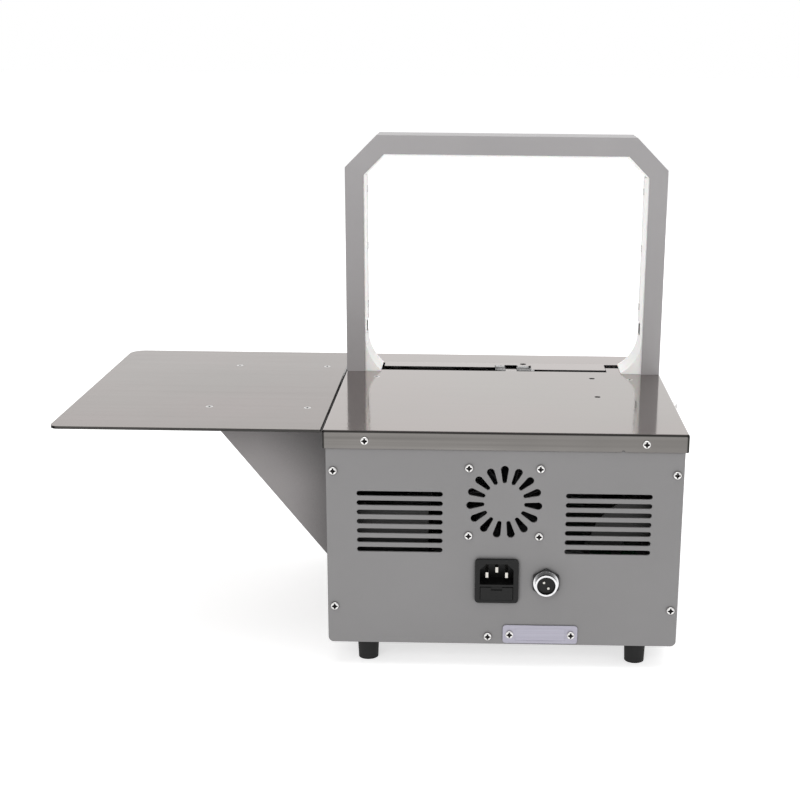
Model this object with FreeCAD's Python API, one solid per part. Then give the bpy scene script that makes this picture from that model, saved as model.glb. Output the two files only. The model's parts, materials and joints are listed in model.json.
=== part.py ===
import FreeCAD, Part
import math
import os
from FreeCAD import Vector

# Semi-automatic table-top strapping machine, in millimetres.
# +X is the operator's right (the side table), +Y the rear panel, +Z up.
# The pieces are built about the middle of the case, standing on Z = 0, and are
# moved together at the end so that the origin is the bottom centre of the box.

# ---- driving dimensions ----
cover_width = 256.0        # stainless top cover, across
cover_depth = 253.0        # stainless top cover, front to back
cover_flange = 13.0        # height of the cover's turned-down edge
table_height = 177.5       # working surface above the floor
body_width = 251.0         # painted case, across
foot_height = 18.5
sheet = 1.5                # case and cover sheet
bracket_sheet = 2.0        # side table and its gussets
bend_radius = 4.0
cover_corner = 2.4
cover_bend = 1.8              # outer radius of the cover's upper edge

side_table_reach = 190.5   # beyond the edge of the cover
side_table_gap = 1.0

arch_width = 254.0
arch_height = 189.0        # above the working surface
arch_depth = 37.0
arch_rear_inset = 183.0    # rear edge of the cover to the rear face of the arch
arch_leg = 14.5            # face width of the arch
arch_chamfer = 25.0
arch_sheet = 1.2

tape_width = 30.0
fan_size = 60.0
fan_depth = 25.0
fan_screw_spacing = 50.0
louvre_count = 7
grille_count = 15
gear_module = 1.0
cam_gear_teeth = 40
pinion_teeth = 16

# ---- fits ----
running = 0.05             # radial clearance of a turning shaft
sliding = 0.3              # clearance of a sliding piece on each side
hole_clearance = 0.05

# ---- derived places ----
half_cover = cover_width / 2
half_body = body_width / 2
rear_edge = cover_depth / 2
front_edge = -rear_edge
rear_face = rear_edge - sheet          # outer face of the rear panel
front_face = -rear_face
rear_inner = rear_face - sheet
front_inner = -rear_inner
cover_underside = table_height - sheet
floor_top = foot_height + sheet
arch_rear = rear_edge - arch_rear_inset
arch_front = arch_rear - arch_depth
half_arch = arch_width / 2
leg_inner = half_arch - arch_leg
track_middle = (arch_rear + arch_front) / 2
side_table_end = half_cover + side_table_reach
tape_rear = track_middle + tape_width / 2
tape_front = track_middle - tape_width / 2

# screws
screw_head_radius = 2.9
screw_head_height = 2.0
screw_shank = 1.45
screw_hole = screw_shank + hole_clearance
screw_length = 7.0
side_screw_radius = 3.9
side_screw_height = 3.1
foot_inset_x = 27.5
foot_inset_y = 18.0
foot_radius = 8.0

# slot in the working surface
slot_left = -101.0
slot_right = 103.0
slot_end_depth = 15.0      # of the narrow part of the slot at its left end
rail_left = -85.0
rail_right = 98.0
slot_rear = rear_edge - 190.0
slot_front = arch_front
rail_rear = rear_edge - 204.0
rail_rear_left = rear_edge - 197.0

# sealing head
head_x = -10.0
anvil_half = 16.0
anvil_thickness = 3.0
anvil_length = 29.5
tongue_left = -11.6
tongue_right = -2.4
tongue_length = 16.0
anvil_top = cover_underside - sliding
cam_height = 100.0
cam_base_radius = 9.0
cam_lobe_radius = 4.0
cam_lobe_offset = 10.0
cam_reach = cam_lobe_radius + cam_lobe_offset
cam_shaft_radius = 4.0
follower_bottom = cam_height + cam_reach + 0.4
plate_rear = -50.0
plate_front = -53.0
head_front = -88.0
head_bottom = 128.0
head_top = 158.0
press_top = 167.0
heater_low = 169.0
heater_rear = -14.0

# tape supply
reel_x = 61.0
reel_height = 75.0
reel_radius = 46.0
core_radius = 20.0
spindle_radius = 6.0
feed_x = 84.0
feed_height = 150.0
feed_radius = 10.0
pinch_radius = 7.0
roller_gap = 0.4
pinch_height = feed_height - feed_radius - pinch_radius - roller_gap
feed_shaft_radius = 4.0
pinch_shaft_radius = 3.0
bush_radius = 7.0

# rear panel fittings
fan_height = table_height - 51.3
inlet_x = 4.5
inlet_width = 31.0
inlet_top = table_height - 93.6
inlet_bottom = table_height - 126.3
inlet_flange = 2.5
pedal_x = -30.7
pedal_height = table_height - 110.8
pedal_nut_flats = 18.5
pedal_nut_height = 2.6
pedal_thread_radius = 7.95
pedal_root_radius = 7.6     # under the nut and in the panel
nameplate_left = -54.4
nameplate_right = -0.4
nameplate_bottom = 19.6
nameplate_top = 33.5
nameplate_sheet = 0.8

# front panel fittings
door_left = 10.0
door_right = 112.0
door_bottom = 26.0
door_top = 132.0
door_rear = front_face - 0.5
hinge_x = 114.2
hinge_y = front_face - 2.5
hinge_radius = 2.2
hinge_pin_radius = 1.2
panel_plate = 1.0
button_height = 112.0
button_radius = 6.0
button_places = {
    "feed_button": -100.0,
    "retract_button": -76.0,
    "plus_button": -52.0,
    "minus_button": -28.0,
}
rocker_x = -96.0
rocker_height = 60.0
rocker_axis_y = front_face + 1.0
rocker_tilt = 9.0

# sprung gates of the tape track
gate_bottom = table_height + 38.0
gate_top = table_height + 156.0
gate_pin_x = leg_inner + 0.6
gate_pin_y = arch_front + 3.4
gate_pin_radius = 0.8
gate_clip_heights = (table_height + 50.0, table_height + 98.0, table_height + 144.0)
gate_clip_size = 5.0

X = Vector(1, 0, 0)
Y = Vector(0, 1, 0)
Z = Vector(0, 0, 1)


# ---- shape helpers ----
def box(x0, x1, y0, y1, z0, z1):
    return Part.makeBox(x1 - x0, y1 - y0, z1 - z0, Vector(x0, y0, z0))


def rod(x, z, y0, y1, radius):
    """A cylinder along Y."""
    return Part.makeCylinder(radius, y1 - y0, Vector(x, y0, z), Y)


def post(x, y, z0, z1, radius):
    """A cylinder along Z."""
    return Part.makeCylinder(radius, z1 - z0, Vector(x, y, z0), Z)


def pin_x(x0, x1, y, z, radius):
    """A cylinder along X."""
    return Part.makeCylinder(radius, x1 - x0, Vector(x0, y, z), X)


def extrude_xz(points, y0, y1):
    """A polygon of (x, z) points, extruded along Y."""
    corners = [Vector(x, y0, z) for x, z in points]
    return Part.Face(Part.makePolygon(corners + corners[:1])).extrude(Vector(0, y1 - y0, 0))


def extrude_xy(points, z0, z1):
    """A polygon of (x, y) points, extruded along Z."""
    corners = [Vector(x, y, z0) for x, y in points]
    return Part.Face(Part.makePolygon(corners + corners[:1])).extrude(Vector(0, 0, z1 - z0))


def extrude_yz(points, x0, x1):
    """A polygon of (y, z) points, extruded along X."""
    corners = [Vector(x0, y, z) for y, z in points]
    return Part.Face(Part.makePolygon(corners + corners[:1])).extrude(Vector(x1 - x0, 0, 0))


def parallel_edges(shape, axis, keep=None):
    """The straight edges of a shape along an axis, and of these the ones that keep(middle) accepts."""
    found = []
    for edge in shape.Edges:
        run = edge.Vertexes[-1].Point.sub(edge.Vertexes[0].Point)
        if run.Length < 1e-6 or run.cross(axis).Length > 1e-6 * run.Length:
            continue
        if keep is None or keep(edge.CenterOfMass):
            found.append(edge)
    return found


def rounded(shape, axis, radius, keep=None):
    return shape.makeFillet(radius, parallel_edges(shape, axis, keep))


def cut(shape, tools):
    result = shape.cut(tuple(tools))
    return result.Solids[0] if len(result.Solids) == 1 else result


def join(shapes):
    result = shapes[0].fuse(tuple(shapes[1:])).removeSplitter()
    return result.Solids[0] if len(result.Solids) == 1 else result


def group(shapes):
    return Part.makeCompound(shapes)


def slot_xz(x, z, half_length, radius, y0, y1):
    """A slot with round ends, running along X and cut along Y."""
    return join([
        box(x - half_length + radius, x + half_length - radius, y0, y1, z - radius, z + radius),
        rod(x - half_length + radius, z, y0, y1, radius),
        rod(x + half_length - radius, z, y0, y1, radius),
    ])


def turned(shape, degrees, centre, axis):
    copy = shape.copy()
    copy.rotate(centre, axis, degrees)
    return copy


def mirrored_x(shape):
    return shape.mirror(Vector(0, 0, 0), X)


# ---- screws ----
def cross_recess(size, depth, top):
    """The crossed slots and the tapered well of a driver recess, cut down from a height."""
    arm = size / 2
    width = size / 8
    well = Part.makeCone(width * 0.8, width * 2.7, depth + 0.3, Vector(0, 0, top - depth - 0.3))
    return join([
        box(-arm, arm, -width, width, top - depth, top),
        box(-width, width, -arm, arm, top - depth, top),
        well,
    ])


def pan_screw(radius=screw_head_radius, height=screw_head_height):
    """A small pan-head screw seated on Z = 0, its head up."""
    head = Part.makeCylinder(radius, height)
    top_rim = [e for e in head.Edges if abs(e.CenterOfMass.z - height) < 1e-6]
    head = head.makeFillet(height / 2, top_rim)
    shank = Part.makeCylinder(screw_shank, screw_length, Vector(0, 0, -screw_length))
    return cut(join([head, shank]), [cross_recess(1.45 * radius, 0.65 * height, height)])


def flush_screw():
    """A countersunk screw with its face at Z = 0."""
    head = Part.makeCone(screw_shank, 2.7, 1.4, Vector(0, 0, -1.4))
    shank = Part.makeCylinder(screw_shank, 6.0, Vector(0, 0, -7.4))
    return cut(join([head, shank]), [cross_recess(2.8, 0.9, 0)])


def flush_seat(x, y):
    """The hole that a countersunk screw leaves in the working surface."""
    cone = Part.makeCone(screw_hole, 2.7 + hole_clearance, 1.4, Vector(x, y, table_height - 1.4))
    return join([cone, post(x, y, table_height - 10, table_height - 1.4, screw_hole)])


def seated(screw, place, outward):
    copy = screw.copy()
    copy.Placement = FreeCAD.Placement(place, FreeCAD.Rotation(Z, outward))
    return copy


def screw_holes(places, outward):
    """Clearance holes for the shanks of screws seated at the places."""
    return [
        Part.makeCylinder(screw_hole, 2 * screw_length, place - outward * screw_length, outward)
        for place in places
    ]


panel_screw_x = 120.5
panel_screw_heights = (table_height - 29.5, table_height - 131.0)
low_screw_x = 10.4
low_screw_height = table_height - 153.0
cover_screw_x = 98.0
cover_screw_height = table_height - 7.0
side_screw_ys = (27.5, -94.5)
side_screw_z = table_height - 5.6


def rear_screw_places():
    places = [Vector(side * panel_screw_x, rear_face, z) for side in (-1, 1) for z in panel_screw_heights]
    return places + [Vector(low_screw_x, rear_face, low_screw_height)]


def front_screw_places():
    places = [Vector(side * panel_screw_x, front_face, z) for side in (-1, 1) for z in panel_screw_heights]
    return places + [Vector(-low_screw_x, front_face, low_screw_height)]


def fan_screw_places():
    half = fan_screw_spacing / 2
    return [Vector(x, rear_face, fan_height + z) for x in (-half, half) for z in (-half, half)]


def nameplate_screw_places():
    height = (nameplate_top + nameplate_bottom) / 2
    xs = (nameplate_left + 4.9, nameplate_right - 4.9)
    return [Vector(x, rear_face + nameplate_sheet, height) for x in xs]


def cover_end_places(y):
    return [Vector(side * cover_screw_x, y, cover_screw_height) for side in (-1, 1)]


def cover_side_places():
    """The left edge only: the side table covers the right one."""
    return [Vector(-half_cover, y, side_screw_z) for y in side_screw_ys]


gusset_screw_heights = (84.0, 140.0)
gusset_side_width = 12.0
gusset_plate_ys = (58.5, -66.5)    # the face of each gusset on its flange side
gusset_flange_signs = (1, -1)
table_screw_xs = (145.0, 217.3)


def gusset_middle(index):
    return gusset_plate_ys[index] + gusset_flange_signs[index] * gusset_side_width / 2


def gusset_screw_places():
    return [
        Vector(half_body + bracket_sheet, gusset_middle(i), z)
        for i in (0, 1)
        for z in gusset_screw_heights
    ]


def foot_places():
    xs = (-half_body + foot_inset_x, half_body - foot_inset_x)
    ys = (-rear_face + foot_inset_y, rear_face - foot_inset_y)
    return [(x, y) for x in xs for y in ys]


def table_screw_places():
    return [(x, gusset_middle(i)) for i in (0, 1) for x in table_screw_xs]


def cover_flush_places():
    return [(-101.5, -38.5), (101.5, -38.5)]


def case_screws():
    """The pan-head screws of panels, cover, fan, nameplate, gussets and feet."""
    screw = pan_screw()
    seats = []
    seats += [(p, Y) for p in rear_screw_places() + fan_screw_places() + nameplate_screw_places()]
    seats += [(p, -Y) for p in front_screw_places()]
    seats += [(p, Y) for p in cover_end_places(rear_edge)]
    seats += [(p, -Y) for p in cover_end_places(front_edge)]
    seats += [(p, X) for p in gusset_screw_places()]
    seats += [(Vector(x, y, foot_height - 3.0), -Z) for x, y in foot_places()]
    side_screw = pan_screw(side_screw_radius, side_screw_height)
    side_screws = [seated(side_screw, place, -X) for place in cover_side_places()]
    return group([seated(screw, place, outward) for place, outward in seats] + side_screws)


def table_screws():
    """The countersunk screws of the side table and of the track's feet."""
    screw = flush_screw()
    places = table_screw_places() + cover_flush_places()
    return group([seated(screw, Vector(x, y, table_height), Z) for x, y in places])


# ---- case ----
def case_shell():
    """The folded sheet of the case: floor, both sides and their inward edges."""
    outer = box(-half_body, half_body, front_inner, rear_inner, foot_height, cover_underside)
    outer = rounded(outer, Y, bend_radius, lambda c: c.z < foot_height + 1)
    inner = box(-half_body + sheet, half_body - sheet, front_inner, rear_inner, floor_top, cover_underside)
    inner = rounded(inner, Y, bend_radius - sheet, lambda c: c.z < floor_top + 1)
    pieces = [cut(outer, [inner])]
    edge = 12.0
    for y0 in (front_inner, rear_inner - sheet):
        for side in (-1, 1):
            x0, x1 = sorted((side * (half_body - sheet), side * (half_body - sheet - edge)))
            pieces.append(box(x0, x1, y0, y0 + sheet, floor_top + 2, cover_underside - 12))
        pieces.append(box(-100, 100, y0, y0 + sheet, floor_top, floor_top + edge))
    shell = join(pieces)
    holes = screw_holes(rear_screw_places() + nameplate_screw_places(), Y)
    holes += screw_holes(front_screw_places(), -Y)
    holes += screw_holes(cover_side_places(), -X)
    holes += screw_holes(gusset_screw_places(), X)
    holes += [post(x, y, foot_height - 1, floor_top + 1, screw_hole) for x, y in foot_places()]
    return cut(shell, holes)


def panel_blank(y0, y1):
    """A case end panel with its two lower corners rounded."""
    blank = box(-half_body, half_body, y0, y1, foot_height, cover_underside)
    return rounded(blank, Y, bend_radius, lambda c: c.z < foot_height + 1)


def grille_slots():
    """The ring of tapered slots in front of the fan, wide at the rim."""
    inner_radius, outer_radius = 15.6, 24.1
    inner_half, outer_half = 1.5, 2.75
    y0, y1 = rear_inner - 1, rear_face + 1
    taper = extrude_xz(
        [
            (-inner_half, fan_height + inner_radius),
            (inner_half, fan_height + inner_radius),
            (outer_half, fan_height + outer_radius),
            (-outer_half, fan_height + outer_radius),
        ],
        y0,
        y1,
    )
    slot = join([
        taper,
        rod(0, fan_height + inner_radius, y0, y1, inner_half),
        rod(0, fan_height + outer_radius, y0, y1, outer_half),
    ])
    centre = Vector(0, 0, fan_height)
    return [turned(slot, 360 * i / grille_count, centre, Y) for i in range(grille_count)]


def louvre_slots():
    """Two banks of level slots, one each side of the fan."""
    bank_middle, half_length, half_width = 73.7, 30.4, 1.8
    top, pitch = table_height - 46.0, 6.93
    return [
        slot_xz(side * bank_middle, top - i * pitch, half_length, half_width, rear_inner - 1, rear_face + 1)
        for side in (-1, 1)
        for i in range(louvre_count)
    ]


inlet_body_half = inlet_width / 2 - 1.8
inlet_body_margin = 1.8


def rear_panel():
    panel = panel_blank(rear_inner, rear_face)
    tools = grille_slots() + louvre_slots()
    tools.append(box(
        inlet_x - inlet_body_half, inlet_x + inlet_body_half, rear_inner - 1, rear_face + 1,
        inlet_bottom + inlet_body_margin, inlet_top - inlet_body_margin,
    ))
    socket_hole = pedal_root_radius + hole_clearance
    tools.append(rod(pedal_x, pedal_height, rear_inner - 1, rear_face + 1, socket_hole))
    places = rear_screw_places() + cover_end_places(rear_edge)
    places += fan_screw_places() + nameplate_screw_places()
    return cut(panel, tools + screw_holes(places, Y))


display_left, display_right = -104.0, -58.0
display_bottom, display_top = 126.0, 148.0


def button_holes(radius):
    return [rod(x, button_height, front_face - 3, front_inner + 3, radius) for x in button_places.values()]


def display_hole():
    return box(display_left, display_right, front_face - 3, front_inner + 3, display_bottom, display_top)


def front_panel():
    """The operator's side, with the reel opening and the holes for the controls."""
    panel = panel_blank(front_face, front_inner)
    opening = box(
        door_left + 5, door_right - 5, front_face - 1, front_inner + 1,
        door_bottom + 4, door_top - 4,
    )
    tools = [rounded(opening, Y, 4)]
    tools += button_holes(button_radius + sliding) + [display_hole()]
    tools.append(box(
        rocker_x - 6.5, rocker_x + 6.5, front_face - 1, front_inner + 1,
        rocker_height - 9.5, rocker_height + 9.5,
    ))
    tools += screw_holes(front_screw_places() + cover_end_places(front_edge), -Y)
    return cut(panel, tools)


def top_cover():
    """Stainless tray lid with the tape slot and turned-down edges."""
    low = table_height - cover_flange
    outer = box(-half_cover, half_cover, front_edge, rear_edge, low, table_height)
    outer = rounded(outer, Z, cover_corner)
    rim = [e for e in outer.Edges if abs(e.CenterOfMass.z - table_height) < 1e-6]
    outer = outer.makeFillet(cover_bend, rim)
    inner = box(
        -half_cover + sheet, half_cover - sheet, front_edge + sheet, rear_edge - sheet,
        low - 1, cover_underside,
    )
    above = table_height + 1
    narrow_rear = slot_front + slot_end_depth
    tools = [inner, box(rail_left, slot_right, slot_front, slot_rear, low, above)]
    tools.append(box(slot_left, rail_left + 1, slot_front, narrow_rear, low, above))
    for y in (-40.6, 20.4):
        tools.append(post(-71.4, y, low, above, 1.6))
        tools.append(Part.makeCone(1.6, 2.4, 0.8, Vector(-71.4, y, table_height - 0.8)))
    tools += [flush_seat(x, y) for x, y in cover_flush_places()]
    tools += screw_holes(cover_end_places(rear_edge), Y) + screw_holes(cover_end_places(front_edge), -Y)
    tools += screw_holes(cover_side_places(), -X)
    tools.append(rod(-82, low, rear_edge - 2 * sheet, rear_edge + 1, 1.3))
    return cut(outer, tools)


def rubber_feet():
    """Four turned rubber feet, each with a recess for its screw."""
    feet = []
    for x, y in foot_places():
        body = Part.makeCone(foot_radius - 0.8, foot_radius, foot_height, Vector(x, y, 0))
        recess = post(x, y, -1, foot_height - 3.0, 3.4)
        feet.append(cut(body, [recess, post(x, y, 0, foot_height + 1, screw_hole)]))
    return group(feet)


def nameplate():
    """A blank plate with a shallow field between its screws."""
    face = rear_face + nameplate_sheet
    plate = box(nameplate_left, nameplate_right, rear_face, face, nameplate_bottom, nameplate_top)
    field = box(
        nameplate_left + 9, nameplate_right - 9, face - 0.3, face + 1,
        nameplate_bottom + 2, nameplate_top - 2,
    )
    return cut(rounded(plate, Y, 2.4), screw_holes(nameplate_screw_places(), Y) + [rounded(field, Y, 1)])


# ---- side table ----
def side_table():
    x0, x1 = half_cover + side_table_gap, side_table_end
    y0, y1 = front_edge + 1.0, rear_edge - 1.5
    plate = box(x0, x1, y0, y1, table_height - bracket_sheet, table_height)
    plate = rounded(plate, Z, 6.0, lambda c: c.x > x1 - 1 and c.y > 0)
    plate = rounded(plate, Z, 12.0, lambda c: c.x > x1 - 1 and c.y < 0)
    return cut(plate, [flush_seat(x, y) for x, y in table_screw_places()])


def gusset(index):
    """A folded bracket: a triangular web, a top flange and a side flange."""
    face = gusset_plate_ys[index]
    sign = gusset_flange_signs[index]
    web_y = sorted((face, face - sign * bracket_sheet))
    flange_y = sorted((face - sign * bracket_sheet, face + sign * gusset_side_width))
    top = table_height - bracket_sheet
    under_flange = table_height - cover_flange - 1.0
    clear_x = half_cover + side_table_gap
    tip_x, toe = 224.0, table_height - 123.0
    web = extrude_xz(
        [
            (half_body, toe),
            (half_body + 2, toe),
            (tip_x, top - 2),
            (tip_x, top),
            (clear_x, top),
            (clear_x, under_flange),
            (half_body, under_flange),
        ],
        web_y[0],
        web_y[1],
    )
    top_flange = box(clear_x, tip_x, flange_y[0], flange_y[1], top - bracket_sheet, top)
    side_flange = box(
        half_body, half_body + bracket_sheet, flange_y[0], flange_y[1], toe + 12, under_flange
    )
    holes = screw_holes(gusset_screw_places(), X)
    holes += [post(x, y, top - 10, top + 1, screw_hole) for x, y in table_screw_places()]
    return cut(join([web, top_flange, side_flange]), holes)


# ---- arch and tape track ----
def arch_outline(offset, base):
    """Half an octagon standing on a height, set in from the outside of the arch."""
    half = half_arch - offset
    top = table_height + arch_height - offset
    chamfer = arch_chamfer - offset * (2 - math.sqrt(2))
    return [
        (-half, base),
        (-half, top - chamfer),
        (-half + chamfer, top),
        (half - chamfer, top),
        (half, top - chamfer),
        (half, base),
    ]


def arch_band(outer_offset, inner_offset, y0, y1):
    """The band of the arch between two offsets, over a stretch of its depth."""
    outside = extrude_xz(arch_outline(outer_offset, table_height), y0, y1)
    inside = extrude_xz(arch_outline(inner_offset, table_height - 1), y0 - 1, y1 + 1)
    return cut(outside, [inside])


def arch():
    """A painted channel, open on the inside, where the tape runs round."""
    band = arch_band(0, arch_leg, arch_front, arch_rear)
    channel = arch_band(arch_sheet, arch_leg + 1, arch_front + arch_sheet, arch_rear - arch_sheet)
    return cut(band, [channel])


liner_thickness = 3.2
liner_proud = 0.6             # of the leg's inner side
liner_rear = arch_rear - 2.0
liner_front = arch_front + 2.0
liner_split = track_middle + 0.5
foot_rise = 28.0
foot_toe = 0.8
liner_top_gap = 5.2
right_foot_reach = 13.0
left_foot_reach = 16.5


def leg_liner(foot_reach):
    """The plastic guide in the right-hand leg, with a curved foot that leads the tape into it."""
    face = leg_inner - liner_proud
    top = table_height + arch_height - arch_chamfer - liner_top_gap
    strip = box(face, face + liner_thickness, liner_split, liner_rear, table_height, top)
    run = foot_reach - liner_proud
    drop = foot_rise - foot_toe
    curve = (run * run + drop * drop) / (2 * run)
    half_turn = math.asin(drop / curve) / 2
    low = Vector(leg_inner - foot_reach, liner_front, table_height + foot_toe)
    middle = Vector(
        face - curve * (1 - math.cos(half_turn)), liner_front,
        table_height + foot_rise - curve * math.sin(half_turn),
    )
    high = Vector(face, liner_front, table_height + foot_rise)
    corner_high = Vector(leg_inner, liner_front, table_height + foot_rise)
    corner_low = Vector(leg_inner, liner_front, table_height)
    toe = Vector(leg_inner - foot_reach, liner_front, table_height)
    edges = [
        Part.Arc(low, middle, high).toShape(),
        Part.makeLine(high, corner_high),
        Part.makeLine(corner_high, corner_low),
        Part.makeLine(corner_low, toe),
        Part.makeLine(toe, low),
    ]
    foot = Part.Face(Part.Wire(edges)).extrude(Vector(0, liner_rear - liner_front, 0))
    return join([strip, foot])


def top_liner():
    """The strip that closes the channel along the top of the arch."""
    lining = arch_band(arch_leg, arch_leg + 1.4, arch_front + 0.6, arch_rear - 0.6)
    top = table_height + arch_height
    keep = box(-half_arch, half_arch, arch_front, arch_rear, top - arch_chamfer - liner_top_gap, top)
    return lining.common(keep).Solids[0]


def clip_slots(margin):
    """The places of the three clips on the right-hand leg, with a margin in height."""
    half = gate_clip_size / 2 + margin
    return [
        box(gate_pin_x - 3, gate_pin_x + 6, gate_pin_y - 4, gate_pin_y + 2.6, z - half, z + half)
        for z in gate_clip_heights
    ]


def right_gate():
    """A sprung flap along the front half of the leg's inner side, hinged on an upright pin."""
    leaf = box(gate_pin_x - 1, gate_pin_x + 1, gate_pin_y, liner_split - 0.6, gate_bottom, gate_top)
    knuckle = post(gate_pin_x, gate_pin_y, gate_bottom, gate_top, 1.6)
    bore = post(gate_pin_x, gate_pin_y, gate_bottom - 1, gate_top + 1, gate_pin_radius + running)
    return cut(join([leaf, knuckle]), [bore] + clip_slots(sliding))


def right_gate_hinge():
    """Three clips on the leg's inner edge and the upright pin that they hold."""
    pieces = [post(gate_pin_x, gate_pin_y, gate_bottom - 2, gate_top + 1, gate_pin_radius)]
    half = gate_clip_size / 2
    for z in gate_clip_heights:
        eye = post(gate_pin_x, gate_pin_y, z - half, z + half, 1.9)
        bore = post(gate_pin_x, gate_pin_y, z - half - 1, z + half + 1, gate_pin_radius)
        tab = box(leg_inner - 0.8, leg_inner, arch_front, gate_pin_y - 0.5, z - half, z + half)
        pieces.append(cut(join([eye, tab]), [bore]))
    return pieces


def gate_hinges():
    right = right_gate_hinge()
    return group(right + [mirrored_x(piece) for piece in right])


notch_left = -23.6
notch_right = 6.4


def slot_rail():
    """The stainless strip that fills the front of the tape slot, notched over the anvil."""
    z0, z1 = cover_underside, table_height
    points = [
        (slot_left, slot_front),
        (slot_left, slot_front + 2),
        (rail_left + sliding, slot_front + 3),
        (rail_left + sliding, rail_rear_left),
        (notch_left, rail_rear_left),
        (notch_left, slot_front + 8),
        (notch_left + 2, slot_front + 10),
        (notch_left + 11, slot_front + 10),
        (notch_left + 12, slot_front + 7),
        (notch_left + 21, slot_front + 7),
        (notch_left + 22, slot_front + 9),
        (notch_right, slot_front + 9),
        (notch_right, rail_rear),
        (rail_right, rail_rear),
        (rail_right, slot_front + 4),
        (slot_right, slot_front + 2),
        (slot_right, slot_front),
    ]
    rail = extrude_xy(points, z0, z1)
    tie = box(slot_left, slot_right, slot_front - 8, slot_front + 3, z0 - sheet, z0)
    hole = post(-17.2, slot_front + 3.4, z0 - 3, z1 + 1, 2.6)
    undercut = extrude_yz(
        [(slot_front + 4.5, z0 - 0.1), (slot_front + 7.1, z0 - 0.1), (slot_front + 7.1, z1 - 0.1)],
        notch_left + 12, notch_left + 21,
    )
    passage = box(
        head_x - anvil_half - sliding, head_x + anvil_half + sliding,
        slot_front - 9, slot_front + 4, z0 - anvil_thickness, z0,
    )
    return cut(join([rail, tie]), [hole, undercut, passage])


def anvil():
    """The sealing plate: a polished slide under the rail, with a narrower tongue in the slot."""
    rear = rail_rear_left
    front = rear - anvil_length
    x0, x1 = head_x - anvil_half, head_x + anvil_half
    low = anvil_top - anvil_thickness
    tongue = box(x0, x1, front, rear, low, anvil_top)
    root = rear - tongue_length
    sides = [
        box(x0 - 1, tongue_left, root, rear + 1, low - 1, anvil_top + 1),
        box(tongue_right, x1 + 1, root, rear + 1, low - 1, anvil_top + 1),
    ]
    return cut(tongue, sides)


# ---- sealing head ----
def head_channel(x0, x1, margin):
    """An upright channel through the head block for one of its slides."""
    return box(
        x0 - margin, x1 + margin, head_front + 1.3 - margin, head_front + 24.7 + margin,
        head_bottom - 1, head_top + 1,
    )


press_span = (head_x - 13.7, head_x + 13.7)
gripper_span = (head_x - 23.7, head_x - 18.3)
cutter_span = (head_x + 17.3, head_x + 19.7)
gripper_cam_span = (-68.0, -64.0)
press_cam_span = (-78.0, -72.0)
cutter_cam_span = (-86.0, -82.0)


def head_block():
    """The fixed guide of the press, the gripper and the cutter, with the heater's rail."""
    block = box(head_x - 30, head_x + 24, head_front, plate_front, head_bottom, head_top)
    rail = box(head_x - 6, head_x + 6, plate_front, heater_rear + 6, head_top - 4, head_top + 1.7)
    tools = [head_channel(*span, sliding) for span in (press_span, gripper_span, cutter_span)]
    return cut(join([block, rail]), tools)


def head_slide(span, cam_span):
    """A block in its channel, with a riser and a foot that reaches over its cam."""
    block = box(span[0], span[1], head_front + 1.3, head_front + 24.7, head_bottom + 4, press_top)
    foot_left = min(span[0], head_x - 4)
    foot_right = max(span[1], head_x + 4)
    foot = box(foot_left, foot_right, cam_span[0], cam_span[1], follower_bottom, follower_bottom + 5)
    riser = box(span[0], span[1], cam_span[0], cam_span[1], follower_bottom, head_bottom + 5)
    return join([block, foot, riser])


def press_block():
    """The press with a ribbed face."""
    grooves = [
        box(press_span[0] + 2 + 4 * i, press_span[0] + 4 + 4 * i, -86, -64, press_top - 0.6, press_top + 1)
        for i in range(6)
    ]
    return cut(head_slide(press_span, press_cam_span), grooves)


def tape_gripper():
    return head_slide(gripper_span, gripper_cam_span)


def cutter_blade():
    """The cutter, its upper edge ground on one side."""
    bevel = extrude_xz(
        [
            (cutter_span[0] - 1, press_top + 1),
            (cutter_span[0] - 1, press_top - 3),
            (cutter_span[0], press_top - 3),
            (cutter_span[1] - 0.4, press_top + 1),
        ],
        head_front,
        head_front + 26,
    )
    return cut(head_slide(cutter_span, cutter_cam_span), [bevel])


def heater_blade():
    """The hot plate that enters between the two layers of tape, on its ceramic carrier."""
    front = heater_rear - 14
    blade = box(head_x - 10, head_x + 10, -60.5, heater_rear, heater_low, heater_low + 1.5)
    carrier = box(head_x - 11, head_x + 11, front, heater_rear, head_top + 2, heater_low)
    lips = [
        box(head_x + x - 2.35, head_x + x + 2.35, front, heater_rear, head_top - 3, head_top + 2)
        for x in (-8.65, 8.65)
    ]
    return join([blade, carrier] + lips)


def frame_plate():
    """The steel plate that carries the head, the shafts and the reel, with its floor flange."""
    plate = box(-70, 118, plate_front, plate_rear, floor_top + bracket_sheet, 168)
    plate = rounded(plate, Y, 6, lambda c: c.z > 160)
    foot = box(-70, 118, plate_front, plate_rear + 14, floor_top, floor_top + bracket_sheet)
    tools = [box(head_x - 15, head_x + 15, plate_front - 1, plate_rear + 1, head_top - 5, 169)]
    shafts = ((head_x, cam_height), (feed_x, feed_height), (feed_x, pinch_height))
    tools += [rod(x, z, plate_front - 1, plate_rear + 1, bush_radius) for x, z in shafts]
    tools.append(rod(pinion_x, cam_height, plate_front - 1, plate_rear + 1, 9.5))
    tools.append(rod(reel_x, reel_height, plate_front - 1, plate_rear + 1, 4.0))
    return cut(join([plate, foot]), tools)


def shaft_bushes():
    """The bronze bushes of the camshaft, the feed shaft and the pinch shaft."""
    y0, y1 = plate_front - 2, plate_rear + 1
    shafts = [
        (head_x, cam_height, cam_shaft_radius, y1),
        (feed_x, feed_height, feed_shaft_radius, plate_rear),
        (feed_x, pinch_height, pinch_shaft_radius, y1),
    ]
    bushes = []
    for x, z, radius, end in shafts:
        bore = rod(x, z, y0 - 1, y1 + 1, radius + running)
        bushes.append(cut(rod(x, z, y0, end, bush_radius), [bore]))
    return group(bushes)


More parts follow.
